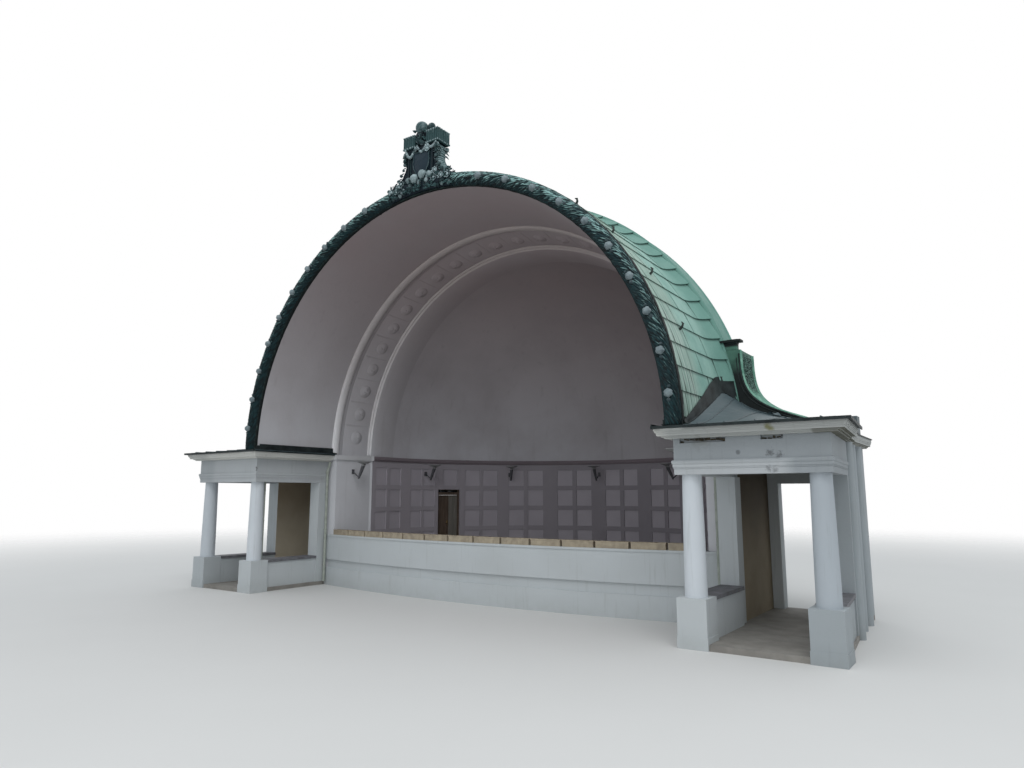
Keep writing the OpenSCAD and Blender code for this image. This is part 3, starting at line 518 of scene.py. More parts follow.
def zoned(name, low_tones, high_tones, edges, roughness, scale, depth, gloss=0.5):
    """A finish that changes with height: one pair of tones, and another between four heights."""
    material, add, where = begin(name)
    grain = add("TexNoise", where, Scale=scale, Detail=6.0, Roughness=0.6)
    colour, high = (add("Mix", grain, *tones, **TINT) for tones in (low_tones, high_tones))
    height = add("SeparateXYZ", where).outputs["Z"]
    above, below = add("MapRange", height, *edges[:2]), add("MapRange", height, *edges[:1:-1])
    colour = add("Mix", add("Math", above, below, operation="MULTIPLY"), colour, high, **TINT)
    return dry(material, add, colour, roughness, grain, 0.2, depth, gloss=gloss)


def painted_joinery(name, dark, middle, pale):
    """Softwood joinery under oil paint, its grain showing through."""
    material, add, where = begin(name)
    along = add("Mapping", where, Scale=(18.0, 18.0, 1.2))
    grain = add("TexNoise", along, Scale=1.0, Detail=6.0, Distortion=0.6)
    colour = add("ValToRGB", grain, stops=((0.3, dark), (0.7, pale), (0.52, middle)))
    return dry(material, add, colour, 0.6, grain, 0.3, 0.01)


@functools.cache
def finish(name):
    """The material of that name, made once."""
    colours = bpy.context.scene.bandstand_colours
    maker, *details = {
        # chalky and brushed on thick, in two tones of off-white
        "masonry": (brushed_masonry_paint, "brushed_masonry_paint", colours.masonry, "#b4b9ba"),
        # paler than the walls
        "column": (brushed_masonry_paint, "brushed_paint_on_columns", "#d3d9de", "#c5cbd0"),
        # the frieze is painted darker than the walls, a painted shade under the cornice's overhang
        "frieze": (brushed_masonry_paint, "brushed_paint_on_frieze", "#bcc1c4", "#a9adaf"),
        # a paler, warmer white than the walls
        "cornice": (brushed_masonry_paint, "rain_washed_masonry_paint", "#d7d7d2", "#c7c8c4"),
        # painted outside, bare and brown inside, and darker toward the ceiling as painted shade
        "outer_wall": (brushed_masonry_paint, "half_painted_render", colours.masonry, "#b4b9ba",
                       (10.21, 10.205, ("#c9bfac", "#b0a48e"), ("#9a8c77", "#7e705c"))),
        # its room side is browner where damp comes through from the shell, and darker toward the ceiling as
        # painted shade
        "inner_wall": (brushed_masonry_paint, "damp_lime_render", colours.masonry, "#b4b9ba",
                       (ROOM_FACE - 0.01, ROOM_FACE - 0.005, ("#a0947f", "#81755f"), ("#625744", "#4a4033"))),
        # chalk paint on the piers beside the stage, the palest of the plaster
        "pier": (distempered_plaster, "limewashed_piers", "#cdced2", "#cdced2", "#bcbcc0"),
        # the beads are nearly white low down, a painted highlight on their rounded faces
        "bead": (distempered_plaster, "washed_plaster_bead", "#f0f1f3", "#b0a5a3", "#a89e9c"),
        "vault": (distempered_plaster, "distempered_plaster", colours.vault, "#9a8d8e", "#9c9597"),
        "apse_wall": (rolled_oil_paint,),
        "dome": (distempered_plaster, "smoked_dome_plaster", "#cccdd2", "#a79a9b", "#9c9597", None, "#cfcac9"),
        "apse_cornice": (
            distempered_plaster, "distempered_cornice", "#83797f", "#83797f", "#746c71", "#c3c4c6",
        ),
        "copper": (patinated_copper,),
        # chased and left outdoors: dark hollows as patina and painted shade, pale crowns as verdigris and
        # painted highlight, duller on the rim and paler on the fruit
        "garland": (chased_copper, "chased_copper_garland", colours.ornament, "#1a3438", "#93bab7", 0.85),
        "rim": (chased_copper, "tarnished_rim_sheet", "#121819", "#1c2626", "#57776f", 0.9),
        "fruit": (chased_copper, "chased_copper_fruit", "#2e3b3f", "#4c5c61", "#a4b2b6", 0.7),
        "crest": (chased_copper, "chased_copper_crest", "#131f26", "#3a5657", "#b6c8cb", 0.7),
        "crest_lace": (chased_copper, "chased_copper_lace", "#1c2b29", "#3a5a53", "#86ab9e", 0.7),
        # flat sheet of the shield and the panels, planished smooth before it tarnished
        "crest_panel": (chased_copper, "planished_copper_panel", "#142028", "#283842", "#4e616a", 1.0),
        # bright verdigris where rain washes the ribs of the buttresses
        "verdigris": (mottled, "washed_verdigris_ribs", "#4b8170", "#7fb09c", 0.6, 5.0, 0.3, 0.01),
        "roof": (weathered_roof_sheet,),
        # coal-tar paint brushed on sheet, almost black and nearly matt
        "black_sheet": (mottled, "tar_painted_sheet", "#1e2324", "#333a3b", 0.5, 3.0, 0.2, 0.02, 0.0, 0.1),
        # steel-trowelled concrete, polished by feet and dusty in the pores
        "concrete": (mottled, "trowelled_concrete", "#8d8a84", "#7b7873", 0.75, 2.4, 0.25, 0.01),
        # cast stone troughs, pitted by the mould and stained by water
        "trough": (mottled, "cast_concrete_trough", "#aea28d", "#958a79", 0.85, 5.0, 0.4, 0.01),
        # sawn slate coping, laid rough side up
        "slate": (mottled, "sawn_slate", "#5c5c60", "#74757a", 0.7, 4.0, 0.35, 0.01),
        # zinc-coated pipe dulled to a greenish grey
        "pipe": (mottled, "galvanised_pipe", "#8f978c", "#a5aba3", 0.55, 6.0, 0.15, 0.005),
        # powder-coated steel, satin, paler from 4.41 m to 5.0 m up and darker below
        "lamp": (zoned, "powder_coated_steel", ("#47484c", "#5c5d61"), ("#7c7d7e", "#939494"),
                 (4.4, 4.41, 5.0, 5.1), 0.45, 8.0, 0.004),
        # dried peat in the troughs, crumbly and dark
        "soil": (mottled, "dry_peat", "#352a22", "#51432f", 0.95, 26.0, 0.9, 0.03),
        # lime mortar and brick laid bare where plaster has dropped off, coloured near black as painted shade in
        # the holes under the cornice
        "shaded_bare_mortar": (mottled, "bare_lime_mortar", "#2b271f", "#51483a", 0.95, 16.0, 0.8, 0.03),
        # copper sheet, near black at its foot and its cap and greenish on the neck; the black on the concave
        # front face is painted shade
        "buttress": (zoned, "tarred_copper_sheet", ("#141717", "#2a3030"), ("#243a35", "#64907f"),
                     (6.5, 6.95, 7.25, 7.3), 0.55, 3.0, 0.02, 0.1),
        "joinery": (painted_joinery, "brown_painted_softwood", "#443930", "#57493d", "#665748"),
        "joinery_grey": (painted_joinery, "grey_painted_softwood", "#66635d", "#77746d", "#85827a"),
        # drawn glass, dark because the room behind is unlit
        "glass": (mottled, "drawn_glass", "#1d2326", "#262d31", 0.12, 2.0, 0.05, 0.01),
        # cast brass handle, dull from hands
        "brass": (mottled, "cast_brass", "#9c8450", "#7d6a42", 0.35, 40.0, 0.1, 0.002, 1.0),
    }[name]
    return maker(*details)


# the nodes of the frame that have each finish
FINISHED_NODES = {
    "masonry": "stage_front_wall pedestals low_walls inner_piers half_columns rear_walls",
    "column": "columns",
    "frieze": "entablatures",
    "cornice": "cornices",
    "outer_wall": "outer_walls",
    "inner_wall": "inner_walls",
    "concrete": "stage_floor wing_floors",
    "trough": "flower_troughs",
    "slate": "wall_copings",
    "pier": "arch_piers",
    "apse_wall": "apse_wall_left apse_wall_door_bay apse_wall_middle apse_wall_right",
    "apse_cornice": "apse_cornice",
    "vault": "shell_vault archivolt archivolt_bosses apse_dome_front",
    "dome": "apse_dome_left apse_dome_right",
    "copper": "shell_copper ridge_band apse_roof rim_fascia",
    "garland": "rim_garland",
    "fruit": "garland_balls",
    "crest": "crest_pedestal crest_shield crest_scrolls crest_ball",
    "roof": "wing_roofs",
    "black_sheet": "roof_edges",
    "buttress": "volutes",
    "pipe": "downpipes",
    "lamp": "floodlights",
    "joinery": "stage_door_frame stage_door_leaf",
    "joinery_grey": "stage_door_narrow_leaf",
}


class BANDSTAND_OT_finishes(bpy.types.Operator):
    """Gives every node of the frame its finish"""

    bl_idname = "bandstand.finishes"
    bl_label = "Finishes of the construction"

    def execute(self, context):
        finish_of = {node: name for name, nodes in FINISHED_NODES.items() for node in nodes.split()}
        for name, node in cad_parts.items():
            if name not in finish_of:
                raise RuntimeError(f"no finish is given for {name}")
            node.data.materials.clear()
            node.data.materials.append(finish(finish_of[name]))
        return {"FINISHED"}


def swept(line, y):
    """Rows of points that carry a line of radii and depths round the arch, a row for each degree."""
    return [[arch_point(angle, r, y + depth) for r, depth in line] for angle in spread(-90, 90, 180)]


class BANDSTAND_OT_shell_copper(bpy.types.Operator):
    """Lays the copper sheets on the shell, course over course"""

    bl_idname = "bandstand.shell_copper"
    bl_label = "Copper sheets of the shell"

    def execute(self, context):
        sizes = context.scene.bandstand_sizes
        chance = random.Random(4)
        pitch = math.degrees(sizes.course_pitch)
        work = Work()
        depths = stations(SHELL_FRONT, SHELL_BACK, 0.12)
        # a dark underlay closes the shell below the laps, its near-black colour a painted shade in the gaps
        under = [[arch_point(a, skin_radius(y) - 0.03, y) for y in depths] for a in spread(-90, 90, 90)]
        work.sheet(under, 0.2, 0.9)
        # seams are counted both ways from one whose angle from the top was measured
        measured = 61.65
        seams = sorted(measured + pitch * k for k in range(-20, 7))
        seams = [a for a in seams if 1.5 < a < 90] + [90.0]
        for side in (-1, 1):
            top = 1.2
            for course, foot in enumerate(seams):
                self.course(work, chance, side, top, foot, course, sizes)
                top = foot
        # the ridge strip over the top of both sides
        half = ((0, 0.036), (1.2, 0.034), (2.5, 0.03), (2.6, -0.01))
        strip = [(-a, lift) for a, lift in half[:0:-1]] + [*half]
        rows = [[arch_point(a, skin_radius(y) + lift, y) for y in depths] for a, lift in strip]
        n = len(depths)
        work.sheet(rows, 0.6, [0.7] * n + [0.0] * (5 * n) + [0.7] * n)
        work.piece("copper_sheets", "copper", "copper_green", replaces=["shell_copper"], smooth=30)
        self.clips()
        return {"FINISHED"}

    def course(self, work, chance, side, top, foot, course, sizes):
        """One course from its upper to its lower seam, as sheets that lap from rim to band."""
        cuts = [SHELL_FRONT, SHELL_FRONT + 0.3 + chance.uniform(-0.02, 0.02)]
        y = cuts[-1] + sizes.sheet_length * (0.45 + 0.33 * (course % 3)) + chance.uniform(-0.06, 0.06)
        while y < SHELL_BACK - 0.35:
            cuts.append(y)
            y += sizes.sheet_length * chance.uniform(0.92, 1.08)
        # how far down the sheet each row of points is, and how dark it is there: dirt, and painted shade under
        # the lap above
        down = ((0, 0.95), (0.035, 0.6), (0.2, 0), (0.4, 0), (0.6, 0), (0.8, 0), (0.96, 0), (1, 0), (1, 1))
        for y0, y1 in zip(cuts, cuts[1:] + [SHELL_BACK]):
            long = y1 - y0
            tone = chance.random()
            slant = 0.0 if y1 < SHELL_FRONT + 0.4 else chance.uniform(0.02, 0.07)
            inner = y0 > SHELL_FRONT and y1 < SHELL_BACK
            across = stations(0, 1, 0.12 / max(0.12, long))[1:-1]
            across = [0.0, 0.012 / long, *across, 1 - 0.03 / long, 1.0]
            rows, wear_and_painted_light = [], []
            for j, (t, dirt_and_shade) in enumerate(down):
                # the folded lower edge hangs a little past the seam
                angle = side * (top + (foot - top) * t + 0.22 * (j >= 7))
                rows.append([])
                for k, s in enumerate(across):
                    at_end = k in (0, len(across) - 1)
                    shift = slant * (t - 0.5) if inner or not at_end else 0
                    y = min(max(y0 + long * s + shift, SHELL_FRONT), SHELL_BACK)
                    flare = max(0.0, (y - SHELL_BACK + FLARE_DEPTH) / FLARE_DEPTH)
                    lift = -0.014 + sizes.lap_height * t * (1 + 1.3 * flare)
                    if k == len(across) - 1:
                        lift -= 0.016
                    elif k <= 1:
                        lift += 0.01 - 0.02 * (k == 0)
                    if j == len(down) - 1:
                        lift = -0.022
                    rows[-1].append(arch_point(angle, skin_radius(y) + lift, y))
                    wear_and_painted_light.append(max(dirt_and_shade, 0.75 * at_end))
            work.sheet(rows, tone, wear_and_painted_light)

    def clips(self):
        """Bent-up clips and hooks that stand on the sheets for ladders and lightning wire."""
        work = Work()
        for side, angle, depth in ((1, 41.0, 0.06), (1, 49.8, 0.38), (1, 59.7, 0.87), (1, 71.5, 1.0),
                                   (-1, 41.0, 0.9), (-1, 62.0, 1.3)):
            y = SHELL_FRONT + depth
            path = [
                arch_point(side * (angle - bend), skin_radius(y) + lift, y + back)
                for bend, lift, back in ((0, -0.01, 0), (0.15, 0.07, 0), (0.7, 0.12, 0.03), (1.2, 0.1, 0.05))
            ]
            work.tube(path, [0.04, 0.034, 0.03, 0.014], sides=6, tone=0.1, wear_and_painted_light=1.0)
        work.piece("shell_hooks", "copper", "copper_dark")


class BANDSTAND_OT_rim(bpy.types.Operator):
    """Dark moulding on the rim of the shell, and the rolled ribs of the raised band"""

    bl_idname = "bandstand.rim"
    bl_label = "Rim moulding and band ribs"

    # radius, depth from the rim, how ragged, and how worn and lit: paler on the rounded front as painted
    # highlight
    profile = (
        (7.535, -0.03, 1, 0.3), (7.53, -0.135, 1, 0.45), (7.55, -0.155, 1, 0.5), (7.585, -0.145, 1, 0.3),
        (7.6, -0.08, 0, 0.0), (7.93, -0.08, 0, 0.0), (7.957, -0.06, 0, 0.25), (7.962, 0.03, 0, 0.3),
        (7.95, 0.075, 0, 0.1), (7.93, 0.075, 0, 0.0),
    )

    def execute(self, context):
        rim = Work()
        rows = []
        for angle in spread(-90, 90, 180):
            dent = 0.012 * noise.noise(Vector((angle * 0.9, 0, 0)))
            rows.append([arch_point(angle, r + dent * rag, SHELL_FRONT + y) for r, y, rag, _ in self.profile])
        rim.sheet(rows, 0.1, [point[3] for point in self.profile] * len(rows))
        rim.piece("rim_moulding", "rim", "copper_green", replaces=["rim_fascia"], smooth=50)
        band = Work()
        ribs = (
            (SHELL_BACK + 0.065, 0.026), (SHELL_BACK + 0.2, 0.016),
            (BAND_BACK - 0.2, 0.016), (BAND_BACK - 0.065, 0.026),
        )
        for y, thick in ribs:
            band.tube([arch_point(a, SKIN + 0.245, y) for a in spread(-90, 90, 90)], thick, 6, 0.7, 0.05)
        band.piece("band_ribs", "copper", "copper_green")
        return {"FINISHED"}


class BANDSTAND_OT_garland(bpy.types.Operator):
    """Leaf garland with fruits along the rim of the shell"""

    bl_idname = "bandstand.garland"
    bl_label = "Garland on the rim"

    # radius of the core in metres, and angles in degrees from the top of the rim
    core_radius = 0.165
    core_end = 9.1
    first_fruit = 16.9
    fruit_pitch = 7.49
    fruits_a_side = 10

    def execute(self, context):
        sizes = context.scene.bandstand_sizes
        chance = random.Random(11)
        work = Work()
        for side in (-1, 1):
            self.core(work, side)
            self.leaves(work, chance, side, sizes.leaf_length)
        work.piece("leaf_garland", "garland", "copper_dark", replaces=["rim_garland"], smooth=50)
        fruits = Work()
        for side in (-1, 1):
            for k in range(self.fruits_a_side):
                self.fruit(fruits, chance, side * (self.first_fruit + self.fruit_pitch * k), sizes.fruit_radius)
        fruits.piece("garland_fruits", "fruit", "copper_dark", replaces=["garland_balls"], smooth=50)
        return {"FINISHED"}

    def on_garland(self, angle, around, lift):
        """Point off the garland's core line, around from its front (0) to its outer side (90)."""
        a = math.radians(around)
        return arch_point(angle, GARLAND_R + lift * math.sin(a), GARLAND_Y - lift * math.cos(a))

    def core(self, work, side):
        """The round core that the leaves lie on, with an end face under the crest and at the foot."""
        rows = [
            [self.on_garland(side * angle, around, self.core_radius) for around in range(-88, 121, 16)]
            for angle in spread(self.core_end, 90, 81)
        ]
        work.sheet(rows, tone=0.0)
        for row in (rows[0], rows[-1]):
            work.lid(row)

    def leaves(self, work, chance, side, length):
        """Rows of leaves that lie on the core like tiles and point up to the crest."""
        step = 0.085
        for i in range(int(math.radians(90 - SADDLE) * GARLAND_R / step)):
            root = 89.6 - math.degrees(i * step / GARLAND_R)
            # the garland's upper and outer side, and most of all near the crest where it faces the sky, is
            # paler as rain-washed patina and painted light; the inner side stays dark as painted shade
            sky_facing = 0.5 + 1.1 * max(0.0, math.cos(math.radians(root)))
            for around in range(-66, 118, 18):
                phi = around + (9 if i % 2 else 0) + chance.uniform(-4, 4)
                size = length * chance.uniform(0.88, 1.1)
                twist = -math.radians(30 + chance.uniform(-8, 8))
                washed_and_lit = min(1.0, max(0.1, (phi + 75) / 120)) * sky_facing
                bright = chance.uniform(0.0, 0.85) * washed_and_lit ** 1.5
                rows, wear_and_painted_light = [], []
                for t in spread(0, 1, 5):
                    half = 0.034 * math.sin(math.pi * (0.1 + 0.9 * t) ** 0.85) + 0.002
                    rows.append([])
                    for w, worn_and_lit in ((-1, 0.0), (-0.5, 0.6), (0, 1.0), (0.5, 0.6), (1, 0.0)):
                        run = size * t * math.cos(twist) - w * half * math.sin(twist)
                        turn = size * t * math.sin(twist) + w * half * math.cos(twist)
                        lift = 0.168 + 0.024 * t + 0.02 * (1 - w * w) * (1 - 0.3 * t)
                        angle = max(root - math.degrees(run / GARLAND_R), self.core_end + 0.05)
                        rows[-1].append(self.on_garland(side * angle, phi + math.degrees(turn / 0.19), lift))
                        wear_and_painted_light.append((bright + 0.3 * t) * worn_and_lit)
                work.sheet(rows, chance.random(), wear_and_painted_light)

    def fruit(self, work, chance, angle, radius):
        """A lobed fruit sunk among the leaves on the front of the garland, with two buds beside it."""
        up = (arch_point(angle, 1, 0) - Vector((0, 0, SPRING))).normalized()
        side = up.cross(FORWARD)
        seat = arch_point(angle, 7.765, GARLAND_Y - 0.175)
        turn = Matrix((side, up, FORWARD)).transposed()
        size = (radius, radius, radius * 0.95)
        work.fruit(seat + FORWARD * 0.02, size, turn, chance.choice((5, 6)), 0.2, tone=0.6, wear_and_painted_light=0.55)
        for along, size in ((0.16, 0.055), (-0.15, 0.045)):
            bud = seat + side * along + up * chance.uniform(-0.05, 0.05)
            work.fruit(bud, size, turn, lobes=3, depth=0.15, tone=0.2, wear_and_painted_light=0.25, rings=6, sides=10)


class BANDSTAND_OT_archivolt(bpy.types.Operator):
    """Runs the plaster moulding of the archivolt back to the dome, with its soft bosses"""

    bl_idname = "bandstand.archivolt"
    bl_label = "Archivolt and bosses"

    # radius and depth: bead and fillet, wide soffit, second bead, and the slope to the dome
    bead = (
        (7.376, -0.14), (7.33, -0.11), (7.3, -0.04), (7.293, 0.04), (7.3, 0.12), (7.335, 0.19), (7.38, 0.215),
    )
    soffit_line = ((7.385, 0.235), (7.375, 0.36), (7.385, 0.375), (7.385, 0.395), (7.372, 0.41), (7.22, 1.54))
    inner_bead = (
        (7.232, 1.55), (7.2, 1.56), (7.165, 1.58), (7.16, 1.605), (7.175, 1.63), (7.13, 1.645), (7.09, 1.66),
    )
    slope = (
        (7.07, 1.7), (7.04, 1.8), (6.985, 2.1), (6.955, 2.5), (APSE_R, 2.76), (APSE_R + 0.25, 2.76),
        (APSE_R + 0.25, 1.61), (SKIN - 0.06, 1.61), (SKIN - 0.06, 0.0),
    )
    # the wide soffit draws in by a share of its depth, from its front edge
    soffit_radius = 7.372
    soffit_start = 0.41
    soffit_taper = 0.1345
    # bosses along the arch and the angle in degrees from one to the next
    bosses = 24
    pitch = 7.335

    def execute(self, context):
        work = Work()
        profile = self.bead + self.soffit_line + self.inner_bead + self.slope
        work.sheet(swept(profile, ARCHIVOLT_FRONT), loop=True, lids=1)
        chance = random.Random(31)
        for i in range(self.bosses):
            middle = (self.bosses - 1) / 2
            self.boss(work, (i - middle) * self.pitch, chance.uniform(0, 2 * math.pi))
            if i:
                self.divider(work, (i - middle - 0.5) * self.pitch)
        replaced = ["archivolt", "archivolt_bosses", "apse_dome_front"]
        work.piece("archivolt_plaster", "vault", "shell_plaster", replaces=replaced, smooth=35)
        # the beads get a paler skin 3 mm thick, a painted highlight on their rounded faces
        beads = Work()
        for line in (self.bead, self.inner_bead):
            beads.sheet(swept([(r - 0.003, depth) for r, depth in line], ARCHIVOLT_FRONT - 0.003))
        beads.piece("archivolt_beads", "bead", "shell_plaster", smooth=50, thick=0.002)
        # behind, copper sheet covers the shoulder between the raised band and the dome
        shoulder = Work()
        line = ((SKIN - 0.045, 1.3), (SKIN - 0.045, 1.622), (7.5, 1.628), (7.21, 1.632))
        shoulder.sheet(swept(line, ARCHIVOLT_FRONT), tone=0.4)
        shoulder.piece("shoulder_sheet", "copper", "copper_green", thick=-0.004)
        return {"FINISHED"}

    def soffit(self, angle, across, depth, lift):
        """Point on the wide soffit: metres along the arch from an angle, depth, and lift inward."""
        radius = self.soffit_radius - self.soffit_taper * (depth - self.soffit_start)
        return arch_point(angle + math.degrees(across / radius), radius - lift, ARCHIVOLT_FRONT + depth)

    def boss(self, work, angle, phase):
        """A soft round boss with a shallow curl on it, its detail lost under many coats."""
        rows = []
        for j in range(13):
            reach = 0.26 * (1 - j / 12)
            rows.append([])
            for k in range(28):
                a = 2 * math.pi * k / 28
                lump = 0.92 + 0.08 * math.sin(3 * a + phase)
                lift = 0.085 * max(0.0, 1 - (reach / 0.25) ** 2) ** 0.9 * lump
                lift += 0.008 * math.exp(-(((reach - 0.12) / 0.03) ** 2)) * max(0.0, math.sin(a + phase))
                across, depth = reach * math.cos(a), 1.0 + reach * math.sin(a)
                rows[-1].append(self.soffit(angle, across, depth, lift if j else -0.01))
        work.sheet(rows, loop=True)

    def divider(self, work, angle):
        """A faint flat strip between two bosses."""
        work.sheet([
            [self.soffit(angle, across, depth, lift) for depth in spread(0.46, 1.46, 10)]
            for across, lift in ((-0.05, -0.003), (-0.015, 0.005), (0.015, 0.005), (0.05, -0.003))
        ])


class BANDSTAND_OT_crest(bpy.types.Operator):
    """Crest on the top of the rim, with a bare shield, two fluted blocks and a ball"""

    bl_idname = "bandstand.crest"
    bl_label = "Crest"

    def execute(self, context):
        chance = random.Random(7)
        work, panel = Work(), Work()
        self.body(panel)
        self.shield(panel)
        replaced = ["crest_pedestal", "crest_shield"]
        panel.piece("crest_panels", "crest_panel", "copper_green", replaced, smooth=45)
        self.fillets(work)
        for side in (-1, 1):
            self.fluted_block(work, side)
            self.console(work, side)
            self.side_leaves(work, side, chance)
        self.swags(work, chance)
        self.base(work, chance)
        self.ball(work, chance)
        work.piece("crest_ornament", "crest", "copper_dark", ["crest_scrolls", "crest_ball"], smooth=45)
        return {"FINISHED"}

    def at(self, x, y, z):
        """A point of the crest, from the top of the rim."""
        return CREST + Vector((x, y, z))

    def waist(self, z):
        """Half the width of the crest's body at a height: straight above, flaring out at the foot."""
        return 0.66 + 0.5 * max(0.0, (0.55 - z) / 0.75) ** 1.3

    def swell(self, angle):
        """How far the saddle stands out at an angle in degrees from the top: 1 there, and 0 at its ends."""
        return max(0.0, 1 - abs(angle / SADDLE) ** 3)

    def body(self, work):
        """The tapering body, and the saddle that rides over the rim."""
        rows = []
        for z in (-0.12, 0.0, 0.12, 0.25, 0.4, 0.6, 0.8, 1.0, 1.06):
            half, deep = self.waist(z) - 0.08, 0.22
            corners = ((-half, -deep), (half, -deep), (half, deep), (0, deep + 0.02), (-half, deep))
            rows.append([self.at(x, y, z) for x, y in corners])
        work.sheet(rows, tone=0.0, loop=True)
        work.lid(rows[-1])
        rows = []
        for angle in spread(-SADDLE, SADDLE, 24):
            swell = self.swell(angle)
            front, back = GARLAND_Y - 0.09 * swell, CREST.y + 0.17 * swell
            rows.append([arch_point(angle, radius, y) for radius, y in (
                (GARLAND_R - 0.17, GARLAND_Y + 0.1), (GARLAND_R - 0.18, GARLAND_Y - 0.08),
                (GARLAND_R - 0.1, GARLAND_Y - 0.15), (GARLAND_R + 0.05, GARLAND_Y - 0.17 - 0.03 * swell),
                (SKIN - 0.04, front - 0.1), (SKIN + 0.12 * swell, front - 0.04),
                (SKIN + 0.03 + 0.15 * swell, GARLAND_Y + 0.05), (SKIN + 0.03 + 0.15 * swell, back + 0.1),
                (SKIN - 0.03, back + 0.14),
            )])
        work.sheet(rows, tone=0.1, loop=True)
        for row in (rows[0], rows[-1]):
            work.lid(row)

    def shield_line(self, grow, y):
        """Outline of the bare shield, grown by a share of its size, at a depth."""
        right = ((0.0, 0.2), (0.17, 0.31), (0.26, 0.46), (0.29, 0.62), (0.27, 0.76), (0.29, 0.86), (0.25, 0.92))
        points = [(-x, z) for x, z in right[:0:-1]] + [*right, (0.12, 0.89), (0, 0.91), (-0.12, 0.89)]
        return [
            self.at(0.05 + 1.04 * x * (1 + grow), y, 0.47 + 1.06 * (z - 0.56) * (1 + grow)) for x, z in points
        ]

    def shield(self, work):
        """A smooth bare shield with a thin rolled edge, standing in a framed recess."""
        steps = ((0.1, -0.21), (0.09, -0.285), (0.03, -0.295), (0.0, -0.275), (-0.35, -0.3), (-0.7, -0.31))
        rings = [self.shield_line(grow, y) for grow, y in steps]
        work.sheet(rings, 0.6, 0.1, loop=True)
        work.lid(rings[-1], 0.6, 0.1)

    def fillets(self, work):
        """Raised fillets at the sides of the shield, and its rolled edge."""
        for x in (-0.47, 0.47):
            work.block(self.at(x - 0.03, -0.265, 0.16), self.at(x + 0.03, -0.2, 1.0), tone=0.0, wear_and_painted_light=0.05)
            beside = math.copysign(0.41, x)
            work.tube([self.at(beside, -0.235, z) for z in (0.2, 0.5, 0.95)], 0.012, 6, 0.4, 0.2)
        line = self.shield_line(0.07, -0.285)
        work.tube(line + line[:1], 0.012, 6, 0.6, 0.3)

    def fluted_block(self, work, side):
        """A block with five flutes on its front and five on its outer side, each four points wide."""
        x0, x1, y0, y1 = 0.24, 0.69, -0.28, 0.28
        sunk = [0.035 * (k % 4 == 2) for k in range(21)]
        line = [(x, y0 + deep) for x, deep in zip(spread(x0, x1, 20), sunk)]
        line += [(x1 - deep, y) for y, deep in zip(spread(y0, y1, 20), sunk)][1:]
        line.append((x0, y1))
        rows, wear_and_painted_light = [], []
        for z, grow, worn_and_lit in ((1.06, -0.03, 0.0), (1.08, 0.015, 0.4), (1.12, 0.015, 0.5), (1.13, 0.0, 0.1),
                              (1.45, 0.0, 0.3), (1.46, 0.01, 0.5), (1.49, 0.01, 0.5), (1.5, 0.0, 0.5)):
            rows.append([
                self.at(side * (x + (grow if x > 0.45 else -grow)), y + (grow if y > 0 else -grow), z)
                for x, y in line
            ])
            # painted shade in the flutes, and painted highlight on the edges between them
            wear_and_painted_light += [worn_and_lit if i % 4 != 2 else 0.0 for i in range(len(line))]
        work.sheet(rows, 0.7, wear_and_painted_light, loop=True)
        work.lid(rows[-1], 0.6, 0.5)
        work.lid(rows[0], flip=True)

    def console(self, work, side):
        """A console down the side: a leafy head under the block, then a ribbed roll that flares below."""
        rows, wear_and_painted_light = [], []
        for k, z in enumerate(spread(0.99, -0.17, 60)):
            rib = abs(math.sin(math.pi * k / 4))
            grown = 0.06 + 0.05 * min(1.0, (0.99 - z) / 0.25)
            rows.append([])
            for a in range(-90, 91, 20):
                t = math.radians(a)
                out = grown * math.cos(t) * (0.82 + 0.18 * rib)
                x, y = side * (self.waist(z) - 0.085 + out), 0.2 * math.sin(t) * (0.93 + 0.07 * rib)
                rows[-1].append(self.at(x, y, z + 0.25 * out))
                # the ribs of the roll are paler as painted highlight
                wear_and_painted_light.append(0.1 + 0.45 * rib)
        work.sheet(rows, 0.9, wear_and_painted_light)
        # a coiled bud at the head and at the foot of the roll, on its front and its back
        for z, size in ((0.93, 0.09), (-0.06, 0.1)):
            for y in (-0.24, 0.24):
                line = []
                for t in spread(0, 1, 21):
                    a, r = 4.4 * math.pi * t, size * (1 - 0.85 * t)
                    x = self.waist(z) - 0.05 + r * math.cos(a)
                    line.append(self.at(side * x, y, z + r * math.sin(a)))
                work.tube(line, 0.022, 6, 0.8, 0.55)
        # acanthus over the head
        for y in (-0.2, -0.08, 0.06, 0.2):
            for z, size in ((1.0, 0.2), (0.86, 0.18), (0.74, 0.16)):
                along = Vector((side * 0.35, -0.3 if y < 0 else 0.2, -0.8))
                out = Vector((side, 0.1 * y, 0.1))
                root = self.at(side * (self.waist(z) - 0.03), y, z)
                work.leaf(root, along, out, size, 0.12, 0.15, tone=0.7, bright=0.6)

    def side_leaves(self, work, side, chance):
        """Small leaves down the edge between the face and the console."""
        out = Vector((0, -1, 0.2))
        for k in range(15):
            z = 0.98 - 0.078 * k
            root = self.at(side * (self.waist(z) - 0.06), -0.24, z)
            for lean in (0.7, -0.5):
                along = Vector((side * lean, -0.35, -0.5 + chance.uniform(-0.3, 0.3)))
                work.leaf(root, along, out, chance.uniform(0.07, 0.11), 0.06, 0.2, chance.random(), bright=0.5)
            if k % 2:
                berry = root + Vector((side * 0.03, -0.03, 0))
                work.fruit(berry, chance.uniform(0.04, 0.06), tone=0.5, wear_and_painted_light=0.25, rings=6, sides=8)

